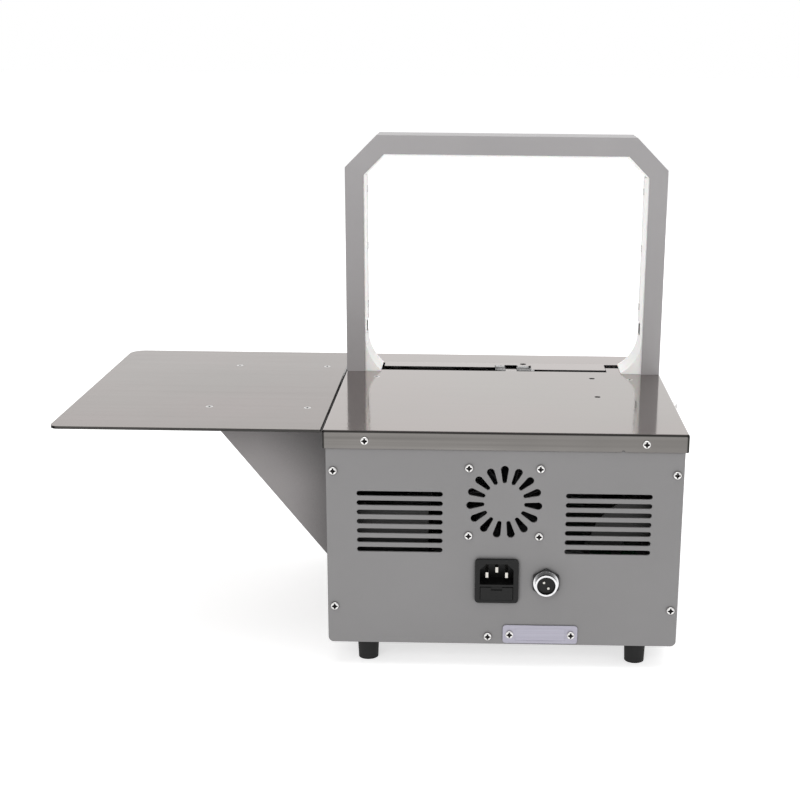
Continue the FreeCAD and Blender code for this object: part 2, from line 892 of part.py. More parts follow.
cam_shaft_front = -90.0
gear_front = -48.0
gear_rear = -42.0
pinion_x = head_x - gear_module * (cam_gear_teeth + pinion_teeth) / 2


def camshaft():
    """The plain shaft of the cams, with a collar at its front end."""
    shaft = rod(head_x, cam_height, cam_shaft_front, gear_rear + 1, cam_shaft_radius)
    return join([shaft, rod(head_x, cam_height, cam_shaft_front, cam_shaft_front + 2, 6)])


def cam(span, lobe_angle):
    """A disc cam: a base circle and a smaller lobe circle, joined by their tangents."""
    base = rod(0, 0, span[0], span[1], cam_base_radius)
    lobe = rod(0, cam_lobe_offset, span[0], span[1], cam_lobe_radius)
    touch = math.acos((cam_base_radius - cam_lobe_radius) / cam_lobe_offset)
    side, rise = math.sin(touch), math.cos(touch)
    flank = extrude_xz(
        [
            (-cam_base_radius * side, cam_base_radius * rise),
            (-cam_lobe_radius * side, cam_lobe_offset + cam_lobe_radius * rise),
            (cam_lobe_radius * side, cam_lobe_offset + cam_lobe_radius * rise),
            (cam_base_radius * side, cam_base_radius * rise),
        ],
        span[0],
        span[1],
    )
    disc = turned(join([base, lobe, flank]), lobe_angle, Vector(0, 0, 0), Y)
    disc.translate(Vector(head_x, 0, cam_height))
    return cut(disc, [rod(head_x, cam_height, span[0] - 1, span[1] + 1, cam_shaft_radius)])


def cams():
    """The three cams, their lobes following one another round the shaft."""
    return group([cam(gripper_cam_span, 160), cam(press_cam_span, 180), cam(cutter_cam_span, 200)])


def involute(angle):
    return math.tan(angle) - angle


def gear_points(teeth, turn):
    """The outline of a 20-degree involute gear, with a tooth on the turned +X direction."""
    pitch_radius = gear_module * teeth / 2
    base_radius = pitch_radius * math.cos(math.radians(20))
    root_radius = pitch_radius - 1.2 * gear_module
    tip_radius = pitch_radius + 0.9 * gear_module
    backlash = 0.08 / pitch_radius
    half_pitch = math.pi / (2 * teeth) + involute(math.radians(20)) - backlash
    flank = []
    steps = 5
    start = max(base_radius, root_radius)
    for i in range(steps + 1):
        radius = start + (tip_radius - start) * i / steps
        flank.append((radius, half_pitch - involute(math.acos(min(1.0, base_radius / radius)))))
    points = []
    for tooth in range(teeth):
        middle = turn + 2 * math.pi * tooth / teeth
        side = [(root_radius, flank[0][1] + 0.02)] + flank
        points += [(r, middle - a) for r, a in side]
        points += [(r, middle + a) for r, a in reversed(side)]
    return [(r * math.cos(a), r * math.sin(a)) for r, a in points]


def gear(x, z, teeth, turn, y0, y1, bore):
    blank = extrude_xz(gear_points(teeth, turn), y0, y1)
    blank.translate(Vector(x, 0, z))
    return cut(blank, [rod(x, z, y0 - 1, y1 + 1, bore)])


def cam_gear():
    """The large gear, lightened by round holes."""
    wheel = gear(head_x, cam_height, cam_gear_teeth, math.pi, gear_front, gear_rear, cam_shaft_radius)
    holes = []
    for i in range(6):
        angle = math.radians(60 * i + 30)
        x, z = head_x + 11.5 * math.cos(angle), cam_height + 11.5 * math.sin(angle)
        holes.append(rod(x, z, gear_front - 1, gear_rear + 1, 3.2))
    return cut(wheel, holes)


motor_front = -40.0
motor_shaft_radius = 3.0


def motor_pinion():
    """The pinion and its shaft, which turns in the motor's nose."""
    turn = math.pi / pinion_teeth
    teeth = extrude_xz(gear_points(pinion_teeth, turn), gear_front, gear_rear)
    teeth.translate(Vector(pinion_x, 0, cam_height))
    return join([teeth, rod(pinion_x, cam_height, gear_front - 2, motor_front + 8, motor_shaft_radius)])


def gear_motor():
    """The camshaft's motor: gearbox, can and end bell."""
    gearbox = rod(pinion_x, cam_height, motor_front, motor_front + 22, 18.5)
    can = rod(pinion_x, cam_height, motor_front + 22, motor_front + 56, 16.5)
    bell = rod(pinion_x, cam_height, motor_front + 56, motor_front + 60, 6)
    end = motor_front + 56
    terminals = [
        box(pinion_x + x - 2, pinion_x + x + 2, end, end + 5, cam_height - 0.5, cam_height + 0.5)
        for x in (-9, 9)
    ]
    cradle = box(
        pinion_x - 14, pinion_x + 14, motor_front + 5, motor_front + 21,
        floor_top, cam_height - 10,
    )
    bore = rod(pinion_x, cam_height, motor_front - 1, motor_front + 10, motor_shaft_radius + running)
    return cut(join([gearbox, can, bell, cradle] + terminals), [bore])


# ---- tape supply ----
def reel_spindle():
    """The fixed spindle of the reel, shouldered against the plate and threaded at its end."""
    y0 = plate_front
    shoulder = rod(reel_x, reel_height, y0 - 4, y0, 10)
    body = rod(reel_x, reel_height, -96, y0, spindle_radius)
    tail = rod(reel_x, reel_height, y0, plate_rear + 4, 4.0)
    end = rod(reel_x, reel_height, -104, -96, 3.0)
    return join([shoulder, body, tail, end])


def reel_hub():
    """The turning hub, with the disc that the roll of tape rests against."""
    y0, y1 = -95.5, plate_front - 4.5
    sleeve = rod(reel_x, reel_height, y0, y1, core_radius - 0.2)
    disc = rod(reel_x, reel_height, y1 - 2, y1, 32)
    hollow = cut(
        rod(reel_x, reel_height, y0 - 1, y1 - 4, core_radius - 3),
        [rod(reel_x, reel_height, y0 - 1, y1 - 4, spindle_radius + 3)],
    )
    bore = rod(reel_x, reel_height, y0 - 1, y1 + 1, spindle_radius + running)
    return cut(join([sleeve, disc]), [hollow, bore])


def tape_roll():
    """A roll of tape, with its card core."""
    y1 = plate_front - 6.5
    y0 = y1 - tape_width
    core = rod(reel_x, reel_height, y0 - 1, y1 + 1, core_radius - 0.2)
    return cut(rod(reel_x, reel_height, y0, y1, reel_radius), [core])


def reel_nut():
    """The knurled nut that keeps the hub on its spindle."""
    nut = rod(reel_x, reel_height, -104, -96, 10)
    flutes = []
    for i in range(12):
        angle = math.radians(30 * i)
        x, z = reel_x + 10.8 * math.cos(angle), reel_height + 10.8 * math.sin(angle)
        flutes.append(rod(x, z, -105, -95, 1.6))
    return cut(nut, flutes + [rod(reel_x, reel_height, -105, -95, 3.0)])


def feed_roller():
    """The driven roller on its shaft, with two grooves round it."""
    roller = rod(feed_x, feed_height, tape_front, tape_rear, feed_radius)
    groove = cut(
        rod(feed_x, feed_height, -1, 1, feed_radius + 1), [rod(feed_x, feed_height, -2, 2, feed_radius - 1)]
    )
    grooves = []
    for y in (track_middle - 7, track_middle + 7):
        ring = groove.copy()
        ring.translate(Vector(0, y, 0))
        grooves.append(ring)
    shaft = rod(feed_x, feed_height, tape_front - 3, motor_front + 4, feed_shaft_radius)
    return join([cut(roller, grooves), shaft])


def pinch_roller():
    """The idling roller that holds the tape against the feed roller."""
    roller = rod(feed_x, pinch_height, tape_front, tape_rear, pinch_radius)
    shaft = rod(feed_x, pinch_height, tape_front - 3, plate_rear + 2, pinch_shaft_radius)
    return join([roller, shaft])


def feed_motor():
    y0 = plate_rear
    can = rod(feed_x, feed_height, y0, y0 + 38, 12.5)
    cap = rod(feed_x, feed_height, y0 + 38, y0 + 41, 9)
    bore = rod(feed_x, feed_height, y0 - 1, y0 + 16, feed_shaft_radius + running)
    relief = rod(feed_x, pinch_height, y0 - 1, y0 + 3, bush_radius + 0.5)
    return cut(join([can, cap]), [bore, relief])


# ---- rear panel fittings ----
def fan_housing():
    """A square axial fan frame with its motor cup on four arms."""
    half = fan_size / 2
    y0, y1 = rear_inner - fan_depth, rear_inner
    frame = rounded(box(-half, half, y0, y1, fan_height - half, fan_height + half), Y, 3)
    tunnel = rod(0, fan_height, y0 - 1, y1 + 1, 28.6)
    holes = [
        rod(place.x, place.z, y0 - 1, y1 + 1, 2.15) for place in fan_screw_places()
    ]
    frame = cut(frame, [tunnel] + holes)
    arm = box(7, 29, y0, y0 + 2.5, fan_height - 1.5, fan_height + 1.5)
    arms = [turned(arm, 90 * i + 45, Vector(0, 0, fan_height), Y) for i in range(4)]
    cup = rod(0, fan_height, y0, y0 + 2.5, 14)
    stator = rod(0, fan_height, y0 + 2.5, y0 + 10, 8)
    bore = rod(0, fan_height, y0 + 1.5, y0 + 11, 1.5 + running)
    return cut(join([frame, cup, stator] + arms), [bore])


def fan_rotor():
    """Seven pitched blades on a cupped hub."""
    y0 = rear_inner - fan_depth + 3.2
    y1 = rear_inner - 2.5
    hub = rod(0, fan_height, y0, y1, 14)
    pocket = rod(0, fan_height, y0 - 1, y0 + 8.2, 9)
    shaft = rod(0, fan_height, y0, y0 + 8.2, 1.5)
    hub = join([cut(hub, [pocket]), shaft])
    length = y1 - y0 - 3
    blade = box(13, 27.4, -length / 2, length / 2, -0.6, 0.6)
    blade.rotate(Vector(0, 0, 0), X, 38)
    blade.translate(Vector(0, (y0 + y1) / 2, fan_height))
    rim = cut(rod(0, fan_height, y0 - 5, y1 + 5, 40), [rod(0, fan_height, y0 - 6, y1 + 6, 27.6)])
    blades = []
    for i in range(7):
        blades.append(cut(turned(blade, 360 * i / 7, Vector(0, 0, fan_height), Y), [rim]))
    return join([hub] + blades)


cavity_half = 12.0
cavity_top = inlet_top - 3.2
cavity_bottom = cavity_top - 15.6
cavity_floor = rear_face + inlet_flange - 16.0
drawer_half = 11.5
drawer_bottom = inlet_bottom + 2.4
drawer_top = cavity_bottom - 2.0
drawer_rear = rear_face + inlet_flange + 0.6
drawer_front = rear_face - 18.0


def inlet_body():
    """The fused mains inlet: flange, body, socket cavity and drawer pocket."""
    flange = box(
        inlet_x - inlet_width / 2, inlet_x + inlet_width / 2, rear_face, rear_face + inlet_flange,
        inlet_bottom, inlet_top,
    )
    flange = rounded(flange, Y, 2.5)
    body = box(
        inlet_x - inlet_body_half, inlet_x + inlet_body_half, rear_face - 24, rear_face,
        inlet_bottom + inlet_body_margin, inlet_top - inlet_body_margin,
    )
    outer = rear_face + inlet_flange + 1
    slant = 4.5
    cavity = extrude_xz(
        [
            (inlet_x - cavity_half, cavity_bottom),
            (inlet_x + cavity_half, cavity_bottom),
            (inlet_x + cavity_half, cavity_top - slant),
            (inlet_x + cavity_half - slant, cavity_top),
            (inlet_x - cavity_half + slant, cavity_top),
            (inlet_x - cavity_half, cavity_top - slant),
        ],
        cavity_floor,
        outer,
    )
    pocket = box(
        inlet_x - drawer_half - sliding, inlet_x + drawer_half + sliding, drawer_front - 0.5, outer,
        drawer_bottom - sliding, drawer_top + sliding,
    )
    return cut(join([flange, body]), [cavity, pocket])


def pedal_pins():
    """The two pins of the pedal socket, one above the other on a slant."""
    return [
        rod(pedal_x + side * 1.6, pedal_height + side * 2.1, rear_face + 2, rear_face + 7, 0.9)
        for side in (-1, 1)
    ]


def contact_pins():
    """The blades of the mains inlet and the two pins of the pedal socket."""
    level = cavity_bottom + 6.4
    places = ((inlet_x - 7, level), (inlet_x + 7, level), (inlet_x, level + 4.0))
    blades = [box(x - 1, x + 1, cavity_floor, rear_face, z - 2, z + 2) for x, z in places]
    return group(blades + pedal_pins())


def fuse_drawer():
    """The fuse holder that pulls out of the inlet, with a lip for a fingernail."""
    block = box(
        inlet_x - drawer_half, inlet_x + drawer_half, drawer_front, drawer_rear, drawer_bottom, drawer_top
    )
    lip = box(
        inlet_x - 4, inlet_x + 4, drawer_rear - 1.2, drawer_rear + 1,
        drawer_top - 2.2, drawer_top + 1,
    )
    trough = box(
        inlet_x - 9, inlet_x + 9, drawer_front + 3, drawer_front + 10, drawer_bottom + 2, drawer_top + 1
    )
    return cut(block, [lip, trough])


def pedal_socket():
    """The threaded metal shell of the pedal socket, with a collar behind the panel."""
    thread = rod(pedal_x, pedal_height, rear_face + pedal_nut_height, rear_face + 8, pedal_thread_radius)
    shell = rod(pedal_x, pedal_height, rear_face - 10, rear_face + pedal_nut_height, pedal_root_radius)
    collar = rod(pedal_x, pedal_height, rear_inner - 2, rear_inner, 9.5)
    bore = rod(pedal_x, pedal_height, rear_face - 11, rear_face + 9, 6.6)
    return cut(join([thread, shell, collar]), [bore])


def pedal_socket_nut():
    """The hexagonal nut on the outside, a corner up."""
    reach = pedal_nut_flats / math.sqrt(3)
    turns = [math.radians(60 * i) for i in range(6)]
    corners = [(pedal_x + reach * math.sin(a), pedal_height + reach * math.cos(a)) for a in turns]
    nut = extrude_xz(corners, rear_face, rear_face + pedal_nut_height)
    face_radius = pedal_nut_flats / 2 - 0.2
    chamfer = Part.makeCone(
        face_radius + 2 * pedal_nut_height, face_radius, 1.5 * pedal_nut_height,
        Vector(pedal_x, rear_face - 0.5 * pedal_nut_height, pedal_height), Y,
    )
    bore = rod(pedal_x, pedal_height, rear_face - 1, rear_face + 4, pedal_root_radius)
    return cut(nut.common(chamfer), [bore])


def pedal_socket_insert():
    """The insulating insert that holds the two pins."""
    insert = rod(pedal_x, pedal_height, rear_face - 9, rear_face + 6, 6.6)
    return cut(insert, pedal_pins())


# ---- front panel fittings ----
def control_panel():
    """The plate that frames the display and the buttons."""
    plate = box(-116, -8, front_face - panel_plate, front_face, 96, 156)
    return cut(rounded(plate, Y, 3), button_holes(button_radius + sliding) + [display_hole()])


def display_window():
    return box(
        display_left, display_right, front_face - panel_plate - 0.2, front_face + 5,
        display_bottom, display_top,
    )


def button(x):
    """A push button with a collar behind the panel."""
    cap = rod(x, button_height, front_face - 3.5, front_inner + 2, button_radius)
    rim = [e for e in cap.Edges if abs(e.CenterOfMass.y - (front_face - 3.5)) < 1e-6]
    cap = cap.makeFillet(0.8, rim)
    collar = rod(x, button_height, front_inner + sliding, front_inner + sliding + 1.5, button_radius + 1.2)
    return join([cap, collar])


def button_board():
    """The board behind the buttons, with a switch behind each one."""
    y0 = front_inner + 6
    board = box(-112, -16, y0, y0 + 1.6, 102, 122)
    switches = [
        box(x - 3, x + 3, y0 - 2.2, y0, button_height - 3, button_height + 3)
        for x in button_places.values()
    ]
    pillars = [rod(x, z, front_inner, y0, 2.0) for x in (-88, -40) for z in (104.5, 119.5)]
    return join([board] + switches + pillars)


def switch_frame():
    """The bezel and body of the power switch."""
    def well(half_x, half_z, y0, y1):
        z0, z1 = rocker_height - half_z, rocker_height + half_z
        return box(rocker_x - half_x, rocker_x + half_x, y0, y1, z0, z1)

    bezel = rounded(well(7.5, 10.5, front_face - 2, front_face), Y, 1.5)
    body = well(6.5, 9.5, front_face, front_face + 15)
    opening = well(5.0, 8.4, front_face - 3, front_face + 11)
    pivot = pin_x(rocker_x - 6, rocker_x + 6, rocker_axis_y, rocker_height, 1.0 + running)
    return cut(join([bezel, body]), [opening, pivot])


def power_rocker():
    """The rocker, resting in its off position."""
    half = 6.8
    profile = [
        (rocker_axis_y - 4.6, rocker_height + half),
        (rocker_axis_y - 3.6, rocker_height),
        (rocker_axis_y - 4.6, rocker_height - half),
        (rocker_axis_y + 1.0, rocker_height - half),
        (rocker_axis_y + 5.0, rocker_height - 3),
        (rocker_axis_y + 5.0, rocker_height + 3),
        (rocker_axis_y + 1.0, rocker_height + half),
    ]
    rocker = extrude_yz(profile, rocker_x - 4.7, rocker_x + 4.7)
    pivot = pin_x(rocker_x - 5.8, rocker_x + 5.8, rocker_axis_y, rocker_height, 1.0)
    centre = Vector(rocker_x, rocker_axis_y, rocker_height)
    return turned(join([rocker, pivot]), -rocker_tilt, centre, X)


hinge_spans = ((56.0, 72.0), (92.0, 108.0))


def reel_door():
    """The front door over the reel, with a sight slot and a knuckle for each hinge."""
    door = box(door_left, door_right, door_rear - sheet, door_rear, door_bottom, door_top)
    door = rounded(door, Y, 4)
    pieces = [door]
    bores = []
    for z0, z1 in hinge_spans:
        middle = (z0 + z1) / 2
        pieces.append(post(hinge_x, hinge_y, middle + 0.3, z1, hinge_radius))
        pieces.append(box(door_right - 1, hinge_x, door_rear - sheet, door_rear, middle + 0.3, z1))
        bores.append(post(hinge_x, hinge_y, z0, z1 + 1, hinge_pin_radius + running))
    window = slot_xz(reel_x, reel_height, 30, 5, door_rear - 3, door_rear + 1)
    window = turned(window, 90, Vector(reel_x, 0, reel_height), Y)
    knob_hole = rod(door_left + 9, 79, door_rear - 3, door_rear + 1, 2.0)
    return cut(join(pieces), bores + [window, knob_hole])


def door_pull():
    """The turned knob of the door and its stud."""
    x = door_left + 9
    face = door_rear - sheet
    neck = rod(x, 79, face - 4, face, 4)
    head = rod(x, 79, face - 10, face - 4, 6.5)
    rim = [e for e in head.Edges if abs(e.CenterOfMass.y - (face - 10)) < 1e-6]
    stud = rod(x, 79, face, door_rear, 2.0)
    return join([neck, head.makeFillet(2.0, rim), stud])


def door_hinges():
    """The fixed leaves of the door's lift-off hinges, each with its pin."""
    leaves = []
    for z0, z1 in hinge_spans:
        middle = (z0 + z1) / 2
        leaf = box(hinge_x + 1.6, hinge_x + 9, front_face - 1, front_face, z0, middle)
        web = box(hinge_x, hinge_x + 2.2, front_face - 2, front_face - 1, z0, middle)
        step = box(hinge_x + 1.6, hinge_x + 2.6, front_face - 2, front_face, z0, middle)
        knuckle = post(hinge_x, hinge_y, z0, middle, hinge_radius)
        pin = post(hinge_x, hinge_y, z0, z1 - 1, hinge_pin_radius)
        leaves.append(join([leaf, web, step, knuckle, pin]))
    return group(leaves)


# ---- electronics ----
def control_board():
    """The main circuit board on four pillars, with its larger components."""
    x0, x1, y0, y1 = -114.0, -64.0, -20.0, 96.0
    z0 = floor_top + 8
    board = box(x0, x1, y0, y1, z0, z0 + 1.6)
    top = z0 + 1.6
    pillars = [post(x, y, floor_top, z0, 3) for x in (x0 + 5, x1 - 5) for y in (y0 + 5, y1 - 5)]
    capacitors = [post(x0 + 12, y0 + 22 + 16 * i, top, top + 20, 6) for i in range(3)]
    relays = [box(x0 + 26, x0 + 42, y0 + 12 + 20 * i, y0 + 26 + 20 * i, top, top + 15) for i in range(3)]
    connectors = [box(x0 + 6 + 14 * i, x0 + 16 + 14 * i, y1 - 16, y1 - 10, top, top + 8) for i in range(3)]
    chip = box(x0 + 14, x0 + 30, y0 + 76, y0 + 92, top, top + 3)
    return join([board] + pillars + capacitors + relays + connectors + [chip])


def power_supply():
    """The power supply, standing behind a louvre bank, and the screen of the main board."""
    x0, x1, y0, y1 = 52.8, 112.0, 62.0, 104.0
    z1 = floor_top + 94.5
    case = rounded(box(x0, x1, y0, y1, floor_top, z1), Z, 2)
    vents = [box(x0 + 12, x1 - 12, y0 + 14 + 8 * i, y0 + 17 + 8 * i, z1 - 3, z1 + 1) for i in range(3)]
    terminals = box(x0 + 8, x1 - 8, y0 - 1, y0 + 8, z1 - 20, z1 + 1)
    strip = box(x0 + 12, x1 - 12, y0 + 1, y0 + 8, z1 - 20, z1 - 8)
    outline = [
        (-110, floor_top), (-110, 122), (-86, 122), (-76.5, 115), (-69, 107.5), (-65, 100.5),
        (-62.7, 92), (-62.7, 86.5), (-87, 86.5), (-87, 93), (-105.5, 93), (-105.5, floor_top),
    ]
    screen = extrude_xz(outline, 101, 101 + sheet)
    screen_foot = box(-110, -96, 95.5, 101, floor_top, floor_top + sheet)
    return group([join([cut(case, vents + [terminals]), strip]), join([screen, screen_foot])])


# ---- all nodes ----
def build():
    gate = right_gate()
    nodes = {
        "case_shell": case_shell(),
        "rear_panel": rear_panel(),
        "front_panel": front_panel(),
        "top_cover": top_cover(),
        "rubber_feet": rubber_feet(),
        "case_screws": case_screws(),
        "side_table": side_table(),
        "rear_gusset": gusset(0),
        "front_gusset": gusset(1),
        "table_screws": table_screws(),
        "arch": arch(),
        "right_track_liner": leg_liner(right_foot_reach),
        "left_track_liner": mirrored_x(leg_liner(left_foot_reach)),
        "top_track_liner": top_liner(),
        "right_gate": gate,
        "left_gate": mirrored_x(gate),
        "gate_hinges": gate_hinges(),
        "slot_rail": slot_rail(),
        "anvil": anvil(),
        "head_block": head_block(),
        "press_block": press_block(),
        "tape_gripper": tape_gripper(),
        "cutter_blade": cutter_blade(),
        "heater_blade": heater_blade(),
        "frame_plate": frame_plate(),
        "shaft_bushes": shaft_bushes(),
        "camshaft": camshaft(),
        "cams": cams(),
        "cam_gear": cam_gear(),
        "motor_pinion": motor_pinion(),
        "gear_motor": gear_motor(),
        "reel_spindle": reel_spindle(),
        "reel_hub": reel_hub(),
        "tape_roll": tape_roll(),
        "reel_nut": reel_nut(),
        "feed_roller": feed_roller(),
        "pinch_roller": pinch_roller(),
        "feed_motor": feed_motor(),
        "fan_housing": fan_housing(),
        "fan_rotor": fan_rotor(),
        "inlet_body": inlet_body(),
        "contact_pins": contact_pins(),
        "fuse_drawer": fuse_drawer(),
        "pedal_socket": pedal_socket(),
        "pedal_socket_nut": pedal_socket_nut(),
        "pedal_socket_insert": pedal_socket_insert(),
        "nameplate": nameplate(),
        "control_panel": control_panel(),
        "display_window": display_window(),
        "switch_frame": switch_frame(),
        "power_rocker": power_rocker(),
        "reel_door": reel_door(),
        "door_pull": door_pull(),
        "door_hinges": door_hinges(),
        "circuit_boards": group([control_board(), button_board()]),
        "power_supply": power_supply(),
    }
    for name, x in button_places.items():
        nodes[name] = button(x)
    return nodes


def move_to_base_centre(nodes):
    """Move every node so that the origin is the bottom centre of the whole, and return the move."""
    bounds = group(list(nodes.values())).BoundBox
    shift = Vector(-bounds.Center.x, -bounds.Center.y, -bounds.ZMin)
    for shape in nodes.values():
        shape.translate(shift)
    return shift


nodes = build()
origin_shift = move_to_base_centre(nodes)
os.makedirs("parts", exist_ok=True)
for name, shape in nodes.items():
    shape.exportStep(f"parts/{name}.step")
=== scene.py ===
"""A table-top strapping machine in a plain studio, seen from behind as it stands on a white floor."""

import json
import math

import bmesh
import bpy
from mathutils import Matrix, Vector


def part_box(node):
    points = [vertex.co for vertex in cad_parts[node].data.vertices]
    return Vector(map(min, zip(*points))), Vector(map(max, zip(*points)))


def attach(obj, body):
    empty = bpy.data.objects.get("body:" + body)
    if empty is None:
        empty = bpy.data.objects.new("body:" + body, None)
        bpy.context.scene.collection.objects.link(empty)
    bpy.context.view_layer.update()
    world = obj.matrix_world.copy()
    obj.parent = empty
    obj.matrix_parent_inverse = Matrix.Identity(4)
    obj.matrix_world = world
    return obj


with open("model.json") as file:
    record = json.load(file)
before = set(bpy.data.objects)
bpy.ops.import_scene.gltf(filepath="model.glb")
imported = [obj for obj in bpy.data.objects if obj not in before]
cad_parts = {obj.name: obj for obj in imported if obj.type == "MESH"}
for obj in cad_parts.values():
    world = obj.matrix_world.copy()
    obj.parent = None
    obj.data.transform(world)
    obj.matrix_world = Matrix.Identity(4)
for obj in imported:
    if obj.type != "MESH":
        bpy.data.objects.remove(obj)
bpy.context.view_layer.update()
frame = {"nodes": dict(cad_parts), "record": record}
nodes = frame["nodes"]

MM = 0.001

# ---- places read from the frame ----
cover_low, cover_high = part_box("top_cover")
rear_top = Vector(((cover_low.x + cover_high.x) / 2, cover_high.y, cover_high.z))


# ---- camera ----
CAMERA_FROM_REAR_TOP = Vector((0.0165, 0.9628, 0.2656))   # metres from the middle of the cover's rear edge
CAMERA_YAW = math.radians(0.747)
CAMERA_PITCH = math.radians(15.862)
CAMERA_ROLL = math.radians(0.57)
CAMERA_LENS = 64.84            # millimetres
CAMERA_SENSOR_WIDTH = 36.0     # millimetres
CAMERA_RANGE = (0.05, 50.0)    # metres
CAMERA_SHIFT = (-0.0795, 0.0541)


def make_camera():
    """The photograph's point of view, looking down at the rear of the machine."""
    data = bpy.data.cameras.new("camera")
    camera = bpy.data.objects.new("camera", data)
    bpy.context.scene.collection.objects.link(camera)
    level = math.cos(CAMERA_PITCH)
    look = Vector((math.sin(CAMERA_YAW) * level, -math.cos(CAMERA_YAW) * level, -math.sin(CAMERA_PITCH)))
    turn = look.to_track_quat("-Z", "Y").to_matrix().to_4x4() @ Matrix.Rotation(CAMERA_ROLL, 4, "Z")
    camera.matrix_world = Matrix.Translation(rear_top + CAMERA_FROM_REAR_TOP) @ turn
    data.lens = CAMERA_LENS
    data.sensor_width = CAMERA_SENSOR_WIDTH
    data.shift_x, data.shift_y = CAMERA_SHIFT
    data.clip_start, data.clip_end = CAMERA_RANGE
    bpy.context.scene.camera = camera


# ---- node helpers ----
WHITE = (1.0, 1.0, 1.0)
NOISE_RANGE = (0.3, 0.7)         # nearly all of a noise's values lie between these
EDGE_RANGE = (0.985, 0.85)       # how well rounded and true normals agree, from a flat face to an edge
BEND_RANGE = (0.997, 0.92)       # how squarely the sheet faces an axis, from a flat face to a bend
ALONG_RANGE = (0.08, 0.22)       # how far a bend faces the front or rear, from a side bend to the others
BEVEL_SAMPLES = 4
RECESS_SAMPLES = 8


class Shader:
    """One material, and short ways to add and join its nodes."""

    def __init__(self, name):
        self.material = bpy.data.materials.new(name)
        self.material.use_nodes = True
        self.tree = self.material.node_tree
        self.bsdf = self.tree.nodes["Principled BSDF"]

    def add(self, kind, **values):
        node = self.tree.nodes.new(kind)
        for key, value in values.items():
            setattr(node, key, value)
        return node

    def link(self, output, target):
        self.tree.links.new(output, target)

    def set(self, **values):
        for key, value in values.items():
            self.bsdf.inputs[key.replace("_", " ")].default_value = value

    def place(self, scale=(1.0, 1.0, 1.0), turn=(0.0, 0.0, 0.0)):
        """Object coordinates in metres, stretched and turned."""
        coords = self.add("ShaderNodeTexCoord")
        mapping = self.add("ShaderNodeMapping")
        mapping.inputs["Scale"].default_value = scale
        mapping.inputs["Rotation"].default_value = turn
        self.link(coords.outputs["Object"], mapping.inputs["Vector"])
        return mapping.outputs["Vector"]

    def noise(self, vector, scale, detail=3.0, roughness=0.55):
        node = self.add("ShaderNodeTexNoise")
        node.inputs["Scale"].default_value = scale
        node.inputs["Detail"].default_value = detail
        node.inputs["Roughness"].default_value = roughness
        self.link(vector, node.inputs["Vector"])
        return node.outputs["Fac"]

    def remap(self, value, low, high, new_low, new_high):
        node = self.add("ShaderNodeMapRange")
        self.link(value, node.inputs["Value"])
        numbers = {"From Min": low, "From Max": high, "To Min": new_low, "To Max": new_high}
        for socket, number in numbers.items():
            node.inputs[socket].default_value = number
        return node.outputs["Result"]

    def spread(self, noise, low=0.0, high=1.0):
        """A noise stretched so that nearly all of it runs from low to high."""
        return self.remap(noise, *NOISE_RANGE, low, high)

    def mix(self, factor, first, second, blend="MIX"):
        """Mix two colours; each may be a colour or a socket."""
        node = self.add("ShaderNodeMix", data_type="RGBA", blend_type=blend)
        sockets = [s for s in node.inputs if s.enabled]
        for socket, value in zip(sockets, (factor, first, second)):
            if isinstance(value, bpy.types.NodeSocket):
                self.link(value, socket)
            else:
                socket.default_value = value
        return [s for s in node.outputs if s.enabled][0]

    def maths(self, operation, first, second):
        node = self.add("ShaderNodeMath", operation=operation)
        for socket, value in zip(node.inputs, (first, second)):
            if isinstance(value, bpy.types.NodeSocket):
                self.link(value, socket)
            else:
                socket.default_value = value
        return node.outputs["Value"]

    def bevel(self, radius):
        node = self.add("ShaderNodeBevel", samples=BEVEL_SAMPLES)
        node.inputs["Radius"].default_value = radius
        return node.outputs["Normal"]

    def bump(self, height, strength, distance, normal=None):
        node = self.add("ShaderNodeBump")
        node.inputs["Strength"].default_value = strength
        node.inputs["Distance"].default_value = distance
        self.link(height, node.inputs["Height"])
        if normal is not None:
            self.link(normal, node.inputs["Normal"])
        return node.outputs["Normal"]

    def edge_mask(self, radius):
        """About 1 on an outside edge and 0 on a flat face."""
        rounded = self.bevel(radius)
        geometry = self.add("ShaderNodeNewGeometry")
        product = self.add("ShaderNodeVectorMath", operation="DOT_PRODUCT")
        self.link(rounded, product.inputs[0])
        self.link(geometry.outputs["Normal"], product.inputs[1])
        return self.remap(product.outputs["Value"], *EDGE_RANGE, 0.0, 1.0)

    def facing(self):
        """How squarely the surface faces along X, Y and Z: 1 square to the axis and 0 along it."""
        coords = self.add("ShaderNodeTexCoord")
        parts = self.add("ShaderNodeSeparateXYZ")
        self.link(coords.outputs["Normal"], parts.inputs["Vector"])
        return {axis: self.maths("ABSOLUTE", parts.outputs[axis], 0.0) for axis in "XYZ"}

    def bend(self):
        """1 where the sheet turns, at upright corners and the front and rear edges, and 0 on its faces; it
        places the painted dark line along each bend.
        """
        facing = self.facing()
        squarest = self.maths("MAXIMUM", self.maths("MAXIMUM", facing["X"], facing["Y"]), facing["Z"])
        turning = self.remap(squarest, *BEND_RANGE, 0.0, 1.0)
        return self.maths("MULTIPLY", turning, self.remap(facing["Y"], *ALONG_RANGE, 0.0, 1.0))

    def recess(self, reach, open_to, closed_at, most=1.0, alone=False):
        """A mask for painted shade: 0 in the open and most where it is hemmed in; alone takes only the
        piece itself into account.
        """
        node = self.add("ShaderNodeAmbientOcclusion", samples=RECESS_SAMPLES, only_local=alone)
        node.inputs["Distance"].default_value = reach
        return self.remap(node.outputs["AO"], open_to, closed_at, 0.0, most)


def shade(colour, amount):
    """A colour made lighter or darker, with its alpha."""
    return tuple(min(1.0, c * amount) for c in colour[:3]) + (1.0,)


